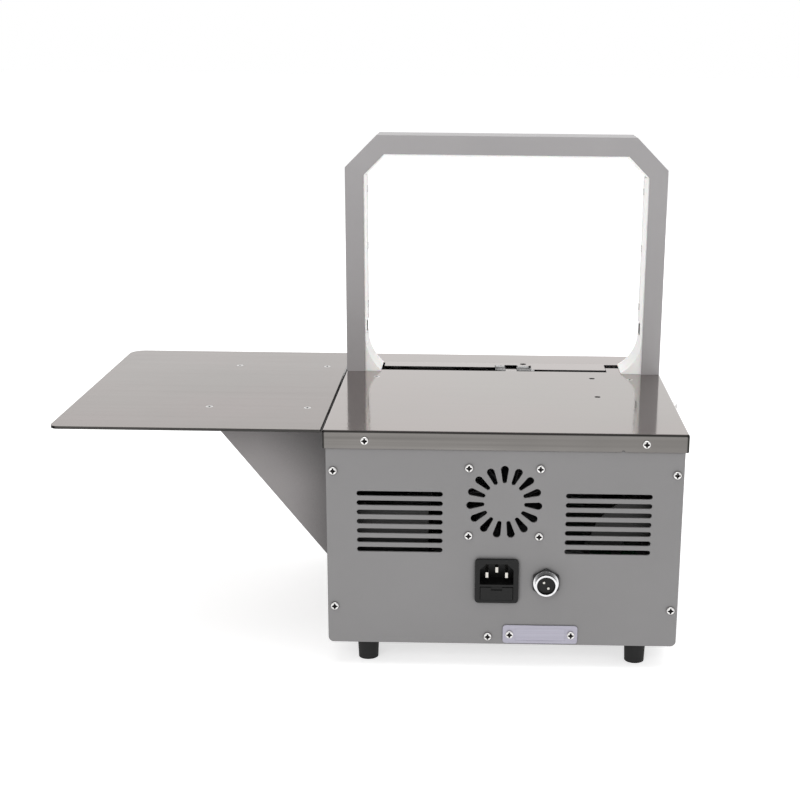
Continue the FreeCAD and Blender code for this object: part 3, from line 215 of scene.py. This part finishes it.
# ---- materials ----
NOTCH_DEPTH = 14.5 * MM      # from the front of the rail to just behind the hole in it
# brightness of the painted highlight on the upright faces above the anvil
NOTCH_HIGHLIGHT = 0.85
PAINT_EDGE = 0.6 * MM        # radii over which each finish rounds its edges
SHEET_EDGE = 0.4 * MM
BRUSHED_EDGE = 0.5 * MM
PLASTIC_EDGE = 0.4 * MM
PLATED_EDGE = 0.25 * MM
CHROME_EDGE = 0.3 * MM
RUBBER_EDGE = 0.5 * MM
TAPE_EDGE = 0.3 * MM
PLATED_SHADE_REACH = 2.5 * MM     # how far across a recess can be and still take painted shade

# sizes of the noises, in cells per metre, along X, Y and Z or the same in all three
PAINT_MOTTLE = 14.0
PAINT_SPECK = 2600.0
PAINT_PEEL = 900.0
SHEET_GRAIN = (7.0, 1300.0, 1300.0)
SHEET_STREAKS = (2.0, 240.0, 240.0)
SHEET_CLOUDS = 7.0
SHEET_TINT = 5.0
BRUSHED_GRAIN = (9.0, 1500.0)    # along the scratches and across them
BRUSHED_BANDS = (2.2, 160.0)
BRUSHED_CLOUDS = 9.0
PLASTIC_DRIFT = 22.0
PLASTIC_GRAIN = 1400.0
PLATED_STAIN = 260.0
PLATED_PITS = 3000.0
CHROME_STAIN = 300.0
RUBBER_BLOOM = 70.0
RUBBER_GRAIN = 1800.0
TAPE_TURNS = 2600.0
BOARD_TRACKS = 260.0
BOARD_PADS = 420.0
WINDOW_HAZE = 40.0


def powder_coat(name, colour, roughness=0.42, painted_shade=0.0, shade_reach=60.0 * MM):
    """Satin powder coat: orange peel, faint mottling, rubbed at the edges with a painted highlight there,
    and painted shade where other pieces hem it in.
    """
    s = Shader(name)
    place = s.place()
    mottle = s.noise(place, PAINT_MOTTLE, 4.0)
    speck = s.noise(place, PAINT_SPECK, 2.0)
    base = s.mix(s.spread(mottle), shade(colour, 0.965), shade(colour, 1.035))
    base = s.mix(s.remap(speck, 0.62, 0.72, 0.0, 0.35), base, shade(colour, 1.22))
    # painted highlight: the edges are lightened, as well as rubbed
    base = s.mix(s.maths("MULTIPLY", s.edge_mask(PAINT_EDGE), 0.30), base, shade(colour, 1.35))
    # painted shade: ambient occlusion darkens the paint near other pieces, under the table and below the
    # flanges
    if painted_shade:
        base = s.mix(s.recess(shade_reach, 0.85, 0.45, painted_shade), base, shade(colour, 0.3))
    s.link(base, s.bsdf.inputs["Base Color"])
    s.link(s.spread(mottle, roughness - 0.05, roughness + 0.06), s.bsdf.inputs["Roughness"])
    peel = s.noise(place, PAINT_PEEL, 2.0)
    s.link(s.bump(peel, 0.22, 0.12 * MM, s.bevel(PAINT_EDGE)), s.bsdf.inputs["Normal"])
    s.set(Specular_IOR_Level=0.45)
    return s.material


def sheet_steel(name, top, side, roughness=0.11, stain=0.12, painted_highlight=None):
    """Brushed stainless sheet: bright level faces, upright ones darkened with the side colour as a painted
    reflection, and a painted dark line along each bend.

    The last argument is a stretch of X behind a line, as (start, end, line, brightness), where the upright
    faces get a painted highlight: bright and not metallic.
    """
    s = Shader(name)
    fine = s.noise(s.place(SHEET_GRAIN), 1.0, 3.0, 0.6)
    streaks = s.noise(s.place(SHEET_STREAKS), 1.0, 3.0, 0.6)
    clouds = s.noise(s.place(), SHEET_CLOUDS, 4.0)
    tint = s.noise(s.place(turn=(0.3, 0.2, 0.9)), SHEET_TINT, 2.0)
    level = s.facing()["Z"]
    rosy = (top[0] * 1.03, top[1] * 0.985, top[2], 1.0)
    flat = s.mix(s.remap(tint, 0.4, 0.62, 0.0, 1.0), shade(top, 1.0), rosy)
    flat = s.mix(s.remap(clouds, 0.35, 0.7, 0.0, stain), flat, shade(top, 0.7))
    # painted reflection: the side colour darkens the upright faces, standing in for the dim surroundings
    # they mirror
    upright = s.mix(s.spread(streaks), shade(side, 0.82), shade(side, 1.2))
    upright = s.mix(s.remap(clouds, 0.35, 0.65, 0.0, 0.6), upright, shade(side, 0.78))
    # painted highlight: in this stretch the upright faces are painted bright and made non-metallic
    if painted_highlight:
        start, end, line, highlight = painted_highlight
        parts = s.add("ShaderNodeSeparateXYZ")
        s.link(s.place(), parts.inputs["Vector"])
        inside = s.maths("MULTIPLY", s.maths("GREATER_THAN", parts.outputs["X"], start),
                         s.maths("LESS_THAN", parts.outputs["X"], end))
        inside = s.maths("MULTIPLY", inside, s.maths("GREATER_THAN", parts.outputs["Y"], line))
        upright = s.mix(inside, upright, shade(WHITE, highlight))
        highlighted = s.maths("MULTIPLY", inside, s.remap(level, 0.0, 0.5, 1.0, 0.0))
        s.link(s.maths("SUBTRACT", 1.0, highlighted), s.bsdf.inputs["Metallic"])
    base = s.mix(s.remap(level, 0.5, 0.8, 0.0, 1.0), upright, flat)
    # painted reflection: a near-black line along each bend
    base = s.mix(s.bend(), base, shade(side, 0.12))
    base = s.mix(s.spread(fine, 0.0, 0.5), base, shade(WHITE, 0.93), "MULTIPLY")
    s.link(base, s.bsdf.inputs["Base Color"])
    s.link(s.spread(streaks, roughness - 0.03, roughness + 0.05), s.bsdf.inputs["Roughness"])
    s.link(s.bump(fine, 0.25, 0.015 * MM, s.bevel(SHEET_EDGE)), s.bsdf.inputs["Normal"])
    s.set(Metallic=1.0)
    return s.material


def brushed_metal(name, colour, roughness=0.2, along=0, grain=0.35):
    """Metal with fine scratches along one axis: 0 for X, 1 for Y, 2 for Z."""
    s = Shader(name)
    fine, broad = [[lengthwise if axis == along else crosswise for axis in range(3)]
                   for lengthwise, crosswise in (BRUSHED_GRAIN, BRUSHED_BANDS)]
    scratches = s.noise(s.place(fine), 1.0, 3.0, 0.6)
    bands = s.noise(s.place(broad), 1.0, 2.0, 0.5)
    clouds = s.noise(s.place(), BRUSHED_CLOUDS, 3.0)
    base = s.mix(s.spread(scratches), shade(colour, 0.93), shade(colour, 1.06))
    base = s.mix(s.remap(bands, 0.35, 0.65, 0.0, 0.5), base, shade(colour, 1.05))
    base = s.mix(s.remap(clouds, 0.35, 0.75, 0.0, 0.25), base, shade(colour, 0.94))
    s.link(base, s.bsdf.inputs["Base Color"])
    cloudy = s.spread(clouds, roughness - 0.03, roughness + 0.04)
    s.link(s.maths("ADD", s.spread(bands, -0.03, 0.04), cloudy), s.bsdf.inputs["Roughness"])
    s.link(s.bump(scratches, grain, 0.02 * MM, s.bevel(BRUSHED_EDGE)), s.bsdf.inputs["Normal"])
    s.set(Metallic=1.0)
    return s.material


def moulded_plastic(name, colour, roughness, texture=0.25, translucency=0.0, gloss=0.5):
    """Moulded plastic with a fine eroded texture, slight colour drift and a painted highlight along its
    edges.
    """
    s = Shader(name)
    place = s.place()
    drift = s.noise(place, PLASTIC_DRIFT, 3.0)
    eroded = s.noise(place, PLASTIC_GRAIN, 3.0)
    base = s.mix(s.spread(drift), shade(colour, 0.93), shade(colour, 1.06))
    # painted highlight: the edges are lightened
    base = s.mix(s.maths("MULTIPLY", s.edge_mask(PLASTIC_EDGE), 0.25), base, shade(colour, 1.4))
    s.link(base, s.bsdf.inputs["Base Color"])
    s.link(s.spread(drift, roughness - 0.04, roughness + 0.05), s.bsdf.inputs["Roughness"])
    s.link(s.bump(eroded, texture, 0.08 * MM, s.bevel(PLASTIC_EDGE)), s.bsdf.inputs["Normal"])
    s.set(Specular_IOR_Level=gloss)
    if translucency:
        s.set(Subsurface_Weight=translucency, Subsurface_Scale=1.5 * MM)
    return s.material


def plated_metal(name, colour, roughness=0.15):
    """Bright zinc or nickel: smooth, with faint stains and fine pitting, and painted shade in its
    recesses.
    """
    s = Shader(name)
    place = s.place()
    stain = s.noise(place, PLATED_STAIN, 3.0)
    base = s.mix(s.remap(stain, 0.35, 0.7, 0.0, 1.0), shade(colour, 1.0), shade(colour, 0.82))
    # painted shade: near black deep in the recesses of the heads
    base = s.mix(s.recess(PLATED_SHADE_REACH, 0.92, 0.70, alone=True), base, shade(colour, 0.01))
    s.link(base, s.bsdf.inputs["Base Color"])
    s.link(s.spread(stain, roughness - 0.05, roughness + 0.12), s.bsdf.inputs["Roughness"])
    pits = s.noise(place, PLATED_PITS, 2.0)
    s.link(s.bump(pits, 0.1, 0.03 * MM, s.bevel(PLATED_EDGE)), s.bsdf.inputs["Normal"])
    s.set(Metallic=1.0)
    return s.material


def turned_chrome(name, colour):
    """Chrome turned about Y: bright on its end faces, with a painted dark reflection on its flats,
    chamfers and walls.
    """
    s = Shader(name)
    along = s.facing()["Y"]
    stain = s.noise(s.place(), CHROME_STAIN, 3.0)
    bright = s.mix(s.remap(stain, 0.35, 0.7, 0.0, 1.0), shade(colour, 1.0), shade(colour, 0.85))
    # painted reflection: faces that do not look along Y are darkened nearly to black
    base = s.mix(s.remap(along, 0.80, 0.95, 0.0, 1.0), shade(colour, 0.05), bright)
    s.link(base, s.bsdf.inputs["Base Color"])
    s.link(s.spread(stain, 0.08, 0.18), s.bsdf.inputs["Roughness"])
    s.link(s.bevel(CHROME_EDGE), s.bsdf.inputs["Normal"])
    s.set(Metallic=1.0)
    return s.material


def rubber(name, colour, roughness=0.75):
    """Dull rubber with a bloom of dust."""
    s = Shader(name)
    place = s.place()
    bloom = s.noise(place, RUBBER_BLOOM, 4.0)
    base = s.mix(s.remap(bloom, 0.45, 0.75, 0.0, 0.6), shade(colour, 1.0), shade(colour, 2.0))
    s.link(base, s.bsdf.inputs["Base Color"])
    s.link(s.spread(bloom, roughness - 0.08, roughness + 0.08), s.bsdf.inputs["Roughness"])
    grain = s.noise(place, RUBBER_GRAIN, 3.0)
    s.link(s.bump(grain, 0.3, 0.1 * MM, s.bevel(RUBBER_EDGE)), s.bsdf.inputs["Normal"])
    s.set(Specular_IOR_Level=0.3)
    return s.material


def wound_tape(name, colour):
    """The side of a roll: fine rings, one for each turn, about the reel's axis."""
    s = Shader(name)
    low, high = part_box("tape_roll")
    centre = (low + high) / 2
    coords = s.add("ShaderNodeTexCoord")
    offset = s.add("ShaderNodeVectorMath", operation="SUBTRACT")
    offset.inputs[1].default_value = (centre.x, 0.0, centre.z)
    s.link(coords.outputs["Object"], offset.inputs[0])
    flat = s.add("ShaderNodeVectorMath", operation="MULTIPLY")
    flat.inputs[1].default_value = (1.0, 0.0, 1.0)
    s.link(offset.outputs["Vector"], flat.inputs[0])
    radius = s.add("ShaderNodeVectorMath", operation="LENGTH")
    s.link(flat.outputs["Vector"], radius.inputs[0])
    turns = s.add("ShaderNodeTexNoise", noise_dimensions="1D")
    turns.inputs["Scale"].default_value = TAPE_TURNS
    turns.inputs["Detail"].default_value = 3.0
    s.link(radius.outputs["Value"], turns.inputs["W"])
    base = s.mix(s.spread(turns.outputs["Fac"]), shade(colour, 0.8), shade(colour, 1.1))
    s.link(base, s.bsdf.inputs["Base Color"])
    s.link(s.bump(turns.outputs["Fac"], 0.4, 0.1 * MM, s.bevel(TAPE_EDGE)), s.bsdf.inputs["Normal"])
    s.set(Roughness=0.35)
    return s.material


def circuit_board(name):
    """Green solder mask with a pattern of tracks and pale pads."""
    s = Shader(name)
    place = s.place()
    cells = s.add("ShaderNodeTexVoronoi", feature="DISTANCE_TO_EDGE")
    cells.inputs["Scale"].default_value = BOARD_TRACKS
    s.link(place, cells.inputs["Vector"])
    tracks = s.remap(cells.outputs["Distance"], 0.04, 0.08, 1.0, 0.0)
    dots = s.add("ShaderNodeTexVoronoi")
    dots.inputs["Scale"].default_value = BOARD_PADS
    s.link(place, dots.inputs["Vector"])
    pads = s.remap(dots.outputs["Distance"], 0.18, 0.24, 1.0, 0.0)
    base = s.mix(tracks, (0.015, 0.10, 0.04, 1.0), (0.03, 0.20, 0.08, 1.0))
    base = s.mix(s.maths("MULTIPLY", pads, 0.7), base, (0.55, 0.55, 0.5, 1.0))
    s.link(base, s.bsdf.inputs["Base Color"])
    s.link(s.bump(tracks, 0.3, 0.05 * MM), s.bsdf.inputs["Normal"])
    s.set(Roughness=0.35)
    return s.material


def smoked_window(name):
    """The dark window of the display, a little hazy under a clear gloss."""
    s = Shader(name)
    haze = s.noise(s.place(), WINDOW_HAZE, 3.0)
    base = s.mix(s.spread(haze), (0.006, 0.007, 0.009, 1.0), (0.014, 0.015, 0.018, 1.0))
    s.link(base, s.bsdf.inputs["Base Color"])
    s.link(s.spread(haze, 0.05, 0.12), s.bsdf.inputs["Roughness"])
    s.set(Coat_Weight=0.6, Coat_Roughness=0.04)
    return s.material


def make_materials():
    """One finish for each material slot of the record, by its name."""
    anvil_low, anvil_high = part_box("anvil")
    rail_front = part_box("slot_rail")[0].y
    # the painted highlight spans the anvil's width, behind a line NOTCH_DEPTH back from the rail's front
    notch_highlight = (anvil_low.x, anvil_high.x, rail_front + NOTCH_DEPTH, NOTCH_HIGHLIGHT)
    return {
        # case_paint and gusset_paint get painted shade near other pieces; the last two numbers give its
        # strength and reach
        "case_paint": powder_coat("case_paint", (0.200, 0.196, 0.197), painted_shade=0.9, shade_reach=5.0 * MM),
        "arch_paint": powder_coat("arch_paint", (0.315, 0.305, 0.309), 0.38),
        "gusset_paint": powder_coat("gusset_paint", (0.270, 0.256, 0.256), painted_shade=1.0),
        # the second colour of each sheet is painted reflection and shade for its upright faces and bends
        "cover_steel": sheet_steel("cover_steel", (0.40, 0.37, 0.35), (0.180, 0.171, 0.163), 0.075),
        "table_steel": sheet_steel("table_steel", (0.295, 0.270, 0.252), (0.05, 0.048, 0.046), 0.15, 0.3),
        "polished_steel": sheet_steel(
            "polished_steel", (0.45, 0.42, 0.40), (0.03, 0.03, 0.03), 0.1, painted_highlight=notch_highlight),
        "screw_steel": plated_metal("screw_steel", (0.78, 0.77, 0.76)),
        "foot_rubber": rubber("foot_rubber", (0.012, 0.012, 0.012)),
        "liner_plastic": moulded_plastic("liner_plastic", (0.92, 0.915, 0.90), 0.38, translucency=0.15),
        "gate_plastic": moulded_plastic("gate_plastic", (0.93, 0.925, 0.91), 0.32, translucency=0.15),
        "spring_steel": brushed_metal("spring_steel", (0.60, 0.60, 0.60), 0.22, along=2),
        "head_alloy": brushed_metal("head_alloy", (0.60, 0.60, 0.62), 0.3, along=1),
        "ground_steel": brushed_metal("ground_steel", (0.50, 0.50, 0.51), 0.22, along=1),
        "heater_metal": brushed_metal("heater_metal", (0.52, 0.40, 0.26), 0.3, along=1),
        "plate_steel": brushed_metal("plate_steel", (0.52, 0.52, 0.53), 0.32, along=2),
        "bronze": plated_metal("bronze", (0.62, 0.43, 0.22), 0.3),
        "gear_steel": brushed_metal("gear_steel", (0.45, 0.45, 0.46), 0.28, along=1),
        "motor_case": powder_coat("motor_case", (0.06, 0.06, 0.065), 0.4),
        "hub_plastic": moulded_plastic("hub_plastic", (0.03, 0.03, 0.033), 0.4),
        "tape": wound_tape("tape", (0.72, 0.66, 0.52)),
        "roller_rubber": rubber("roller_rubber", (0.05, 0.045, 0.04), 0.6),
        "fan_plastic": moulded_plastic("fan_plastic", (0.012, 0.012, 0.013), 0.42),
        "inlet_plastic": moulded_plastic("inlet_plastic", (0.004, 0.004, 0.004), 0.3, gloss=0.25),
        "contact_metal": plated_metal("contact_metal", (0.60, 0.58, 0.54), 0.2),
        "socket_chrome": turned_chrome("socket_chrome", (0.74, 0.74, 0.75)),
        "plate_silver": brushed_metal("plate_silver", (0.37, 0.36, 0.42), 0.34, grain=0.2),
        "panel_film": moulded_plastic("panel_film", (0.075, 0.085, 0.10), 0.3),
        "display_glass": smoked_window("display_glass"),
        "button_green": moulded_plastic("button_green", (0.03, 0.30, 0.09), 0.25, texture=0.1),
        "button_amber": moulded_plastic("button_amber", (0.70, 0.30, 0.02), 0.25, texture=0.1),
        "button_grey": moulded_plastic("button_grey", (0.48, 0.49, 0.50), 0.25, texture=0.1),
        "rocker_plastic": moulded_plastic("rocker_plastic", (0.015, 0.015, 0.015), 0.22, texture=0.1),
        "knob_plastic": moulded_plastic("knob_plastic", (0.02, 0.02, 0.02), 0.3, texture=0.15),
        "board_green": circuit_board("board_green"),
        "supply_case": brushed_metal("supply_case", (0.075, 0.074, 0.074), 0.5),
    }


def dress_nodes(materials):
    """Give every CAD node the finish of its slot."""
    for entry in frame["record"]["subparts"]:
        mesh = nodes[entry["node"]].data
        mesh.materials.clear()
        mesh.materials.append(materials[entry["material_slot"]])


# ---- marks on the front ----
SEGMENT_WIDTH = 1.1 * MM
SEGMENT_GAP = 0.15 * MM
DIGIT_SIZE = (5.0 * MM, 9.0 * MM)
DIGIT_GAP = 2.6 * MM
SYMBOL_SIZE = 4.2 * MM
SYMBOL_WIDTH = 1.0 * MM
MARK_RELIEF = 0.12 * MM
LIT_PATCHES = 600.0   # cells per metre
DIGIT_SEGMENTS = {"2": "abged", "5": "afgcd"}


def lit_segment(name):
    """The glowing bars of the display, a little uneven."""
    s = Shader(name)
    patchy = s.noise(s.place(), LIT_PATCHES, 2.0)
    glow = s.mix(s.spread(patchy), (0.80, 0.03, 0.01, 1.0), (1.0, 0.07, 0.02, 1.0))
    s.link(glow, s.bsdf.inputs["Base Color"])
    s.link(glow, s.bsdf.inputs["Emission Color"])
    s.set(Emission_Strength=0.9, Roughness=0.35)
    return s.material


def front_mark(name, outlines, face, node, material):
    """Thin raised shapes on a face that looks towards the operator; outlines are lists of (x, z)."""
    form = bmesh.new()
    for outline in outlines:
        base = [form.verts.new((x, face, z)) for x, z in outline]
        plate = form.faces.new(base)
        raised = bmesh.ops.extrude_face_region(form, geom=[plate])["geom"]
        tops = [v for v in raised if isinstance(v, bmesh.types.BMVert)]
        bmesh.ops.translate(form, verts=tops, vec=(0.0, -MARK_RELIEF, 0.0))
    bmesh.ops.recalc_face_normals(form, faces=form.faces)
    mesh = bpy.data.meshes.new(name)
    form.to_mesh(mesh)
    form.free()
    mesh.materials.append(material)
    piece = bpy.data.objects.new(name, mesh)
    bpy.context.scene.collection.objects.link(piece)
    bodies = frame["record"]["behaviour"]["bodies"]
    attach(piece, next(body for body, members in bodies.items() if node in members))


def bar(x, z, length, width, upright=False):
    """A bar with pointed ends about a middle."""
    half, side = length / 2, width / 2
    points = [(-half, 0), (-half + side, -side), (half - side, -side), (half, 0), (half - side, side),
              (-half + side, side)]
    if upright:
        points = [(-b, a) for a, b in points]
    return [(x + a, z + b) for a, b in points]


def digit(character, x, z):
    """The lit bars of one seven-bar digit about a middle."""
    width, height = DIGIT_SIZE
    places = {
        "a": (0, 1, False), "g": (0, 0, False), "d": (0, -1, False),
        "f": (-1, 0.5, True), "b": (1, 0.5, True), "e": (-1, -0.5, True), "c": (1, -0.5, True),
    }
    bars = []
    for letter in DIGIT_SEGMENTS[character]:
        right, up, upright = places[letter]
        length = (height / 2 if upright else width) - SEGMENT_GAP
        bars.append(bar(x + right * width / 2, z + up * height / 2, length, SEGMENT_WIDTH, upright))
    return bars


def cross_bars(x, z, both):
    """A minus sign, or a plus sign when both bars are wanted."""
    half, side = SYMBOL_SIZE / 2, SYMBOL_WIDTH / 2
    if not both:
        return [[(x - half, z - side), (x + half, z - side), (x + half, z + side), (x - half, z + side)]]
    steps = [(-half, -side), (-side, -side), (-side, -half), (side, -half), (side, -side), (half, -side),
             (half, side), (side, side), (side, half), (-side, half), (-side, side), (-half, side)]
    return [[(x + a, z + b) for a, b in steps]]


def arrow(x, z, way):
    """A triangle that points right (1) or left (-1)."""
    half = SYMBOL_SIZE / 2
    return [[(x - way * half, z - half), (x + way * half, z), (x - way * half, z + half)]]


def make_marks(materials):
    """The number in the display window and a symbol on each button."""
    low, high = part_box("display_window")
    middle = (low + high) / 2
    pitch = DIGIT_SIZE[0] + DIGIT_GAP
    digits = digit("2", middle.x - pitch / 2, middle.z) + digit("5", middle.x + pitch / 2, middle.z)
    lit = lit_segment("lit_segment")
    front_mark("display_digits", digits, low.y, "display_window", lit)
    shapes = {
        "plus_button": lambda x, z: cross_bars(x, z, True),
        "minus_button": lambda x, z: cross_bars(x, z, False),
        "feed_button": lambda x, z: arrow(x, z, 1),
        "retract_button": lambda x, z: arrow(x, z, -1),
    }
    for node, shape in shapes.items():
        low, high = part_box(node)
        middle = (low + high) / 2
        outlines = shape(middle.x, middle.z)
        front_mark(node + "_mark", outlines, low.y, node, materials["gate_plastic"])


# ---- studio ----
FLOOR_SIZE = 30.0         # metres
FLOOR_SHADES = 3.0        # cells per metre
FLOOR_GLOW = 0.56
WORLD_SEEN = 1.0          # how bright the surroundings look, themselves and in reflections
WORLD_LIGHT = 0.62        # how strongly they light the object
LIGHTS = {                # place, target and size in metres, power in watts, seen in bare metal or not
    "overhead": ((-0.1, 0.1, 1.9), (-0.05, 0.0, 0.1), (1.8, 1.4), 16.0, True),
    "rear_fill": ((0.7, 2.2, 1.3), (0.0, 0.0, 0.15), (1.4, 1.0), 16.0, False),
    "front_fill": ((-0.9, -2.2, 1.3), (0.0, 0.0, 0.15), (1.4, 1.0), 12.0, False),
}


def make_floor():
    """A pale floor that glows a little, so that it fades into the surroundings."""
    bpy.ops.mesh.primitive_plane_add(size=FLOOR_SIZE, location=(0, 0, 0))
    floor = bpy.context.object
    floor.name = "floor"
    s = Shader("floor")
    soft = s.noise(s.place(), FLOOR_SHADES, 2.0)
    base = s.mix(soft, (0.74, 0.74, 0.74, 1.0), (0.76, 0.76, 0.76, 1.0))
    s.link(base, s.bsdf.inputs["Base Color"])
    s.set(Roughness=0.9, Specular_IOR_Level=0.1)
    s.set(Emission_Color=shade(WHITE, 1.0), Emission_Strength=FLOOR_GLOW)
    floor.data.materials.append(s.material)


def area_light(name, place, target, size, power, mirrored):
    """A soft rectangle of light; one that isn't mirrored leaves no glare on bare metal."""
    data = bpy.data.lights.new(name, "AREA")
    data.shape = "RECTANGLE"
    data.size, data.size_y = size
    data.energy = power
    light = bpy.data.objects.new(name, data)
    bpy.context.scene.collection.objects.link(light)
    light.location = place
    light.visible_glossy = mirrored
    light.rotation_mode = "QUATERNION"
    light.rotation_quaternion = (Vector(target) - Vector(place)).to_track_quat("-Z", "Y")


def make_light():
    """White surroundings, one light overhead and a fill on either side."""
    world = bpy.data.worlds.new("studio")
    bpy.context.scene.world = world
    world.use_nodes = True
    tree = world.node_tree
    background = tree.nodes["Background"]
    background.inputs["Color"].default_value = shade(WHITE, 1.0)
    rays = tree.nodes.new("ShaderNodeLightPath")
    strength = tree.nodes.new("ShaderNodeMapRange")
    strength.inputs["To Min"].default_value = WORLD_SEEN
    strength.inputs["To Max"].default_value = WORLD_LIGHT
    tree.links.new(rays.outputs["Is Diffuse Ray"], strength.inputs["Value"])
    tree.links.new(strength.outputs["Result"], background.inputs["Strength"])
    for name, facts in LIGHTS.items():
        area_light(name, *facts)


make_camera()
make_light()
make_floor()
finishes = make_materials()
dress_nodes(finishes)
make_marks(finishes)
bpy.context.scene.view_settings.view_transform = "Standard"
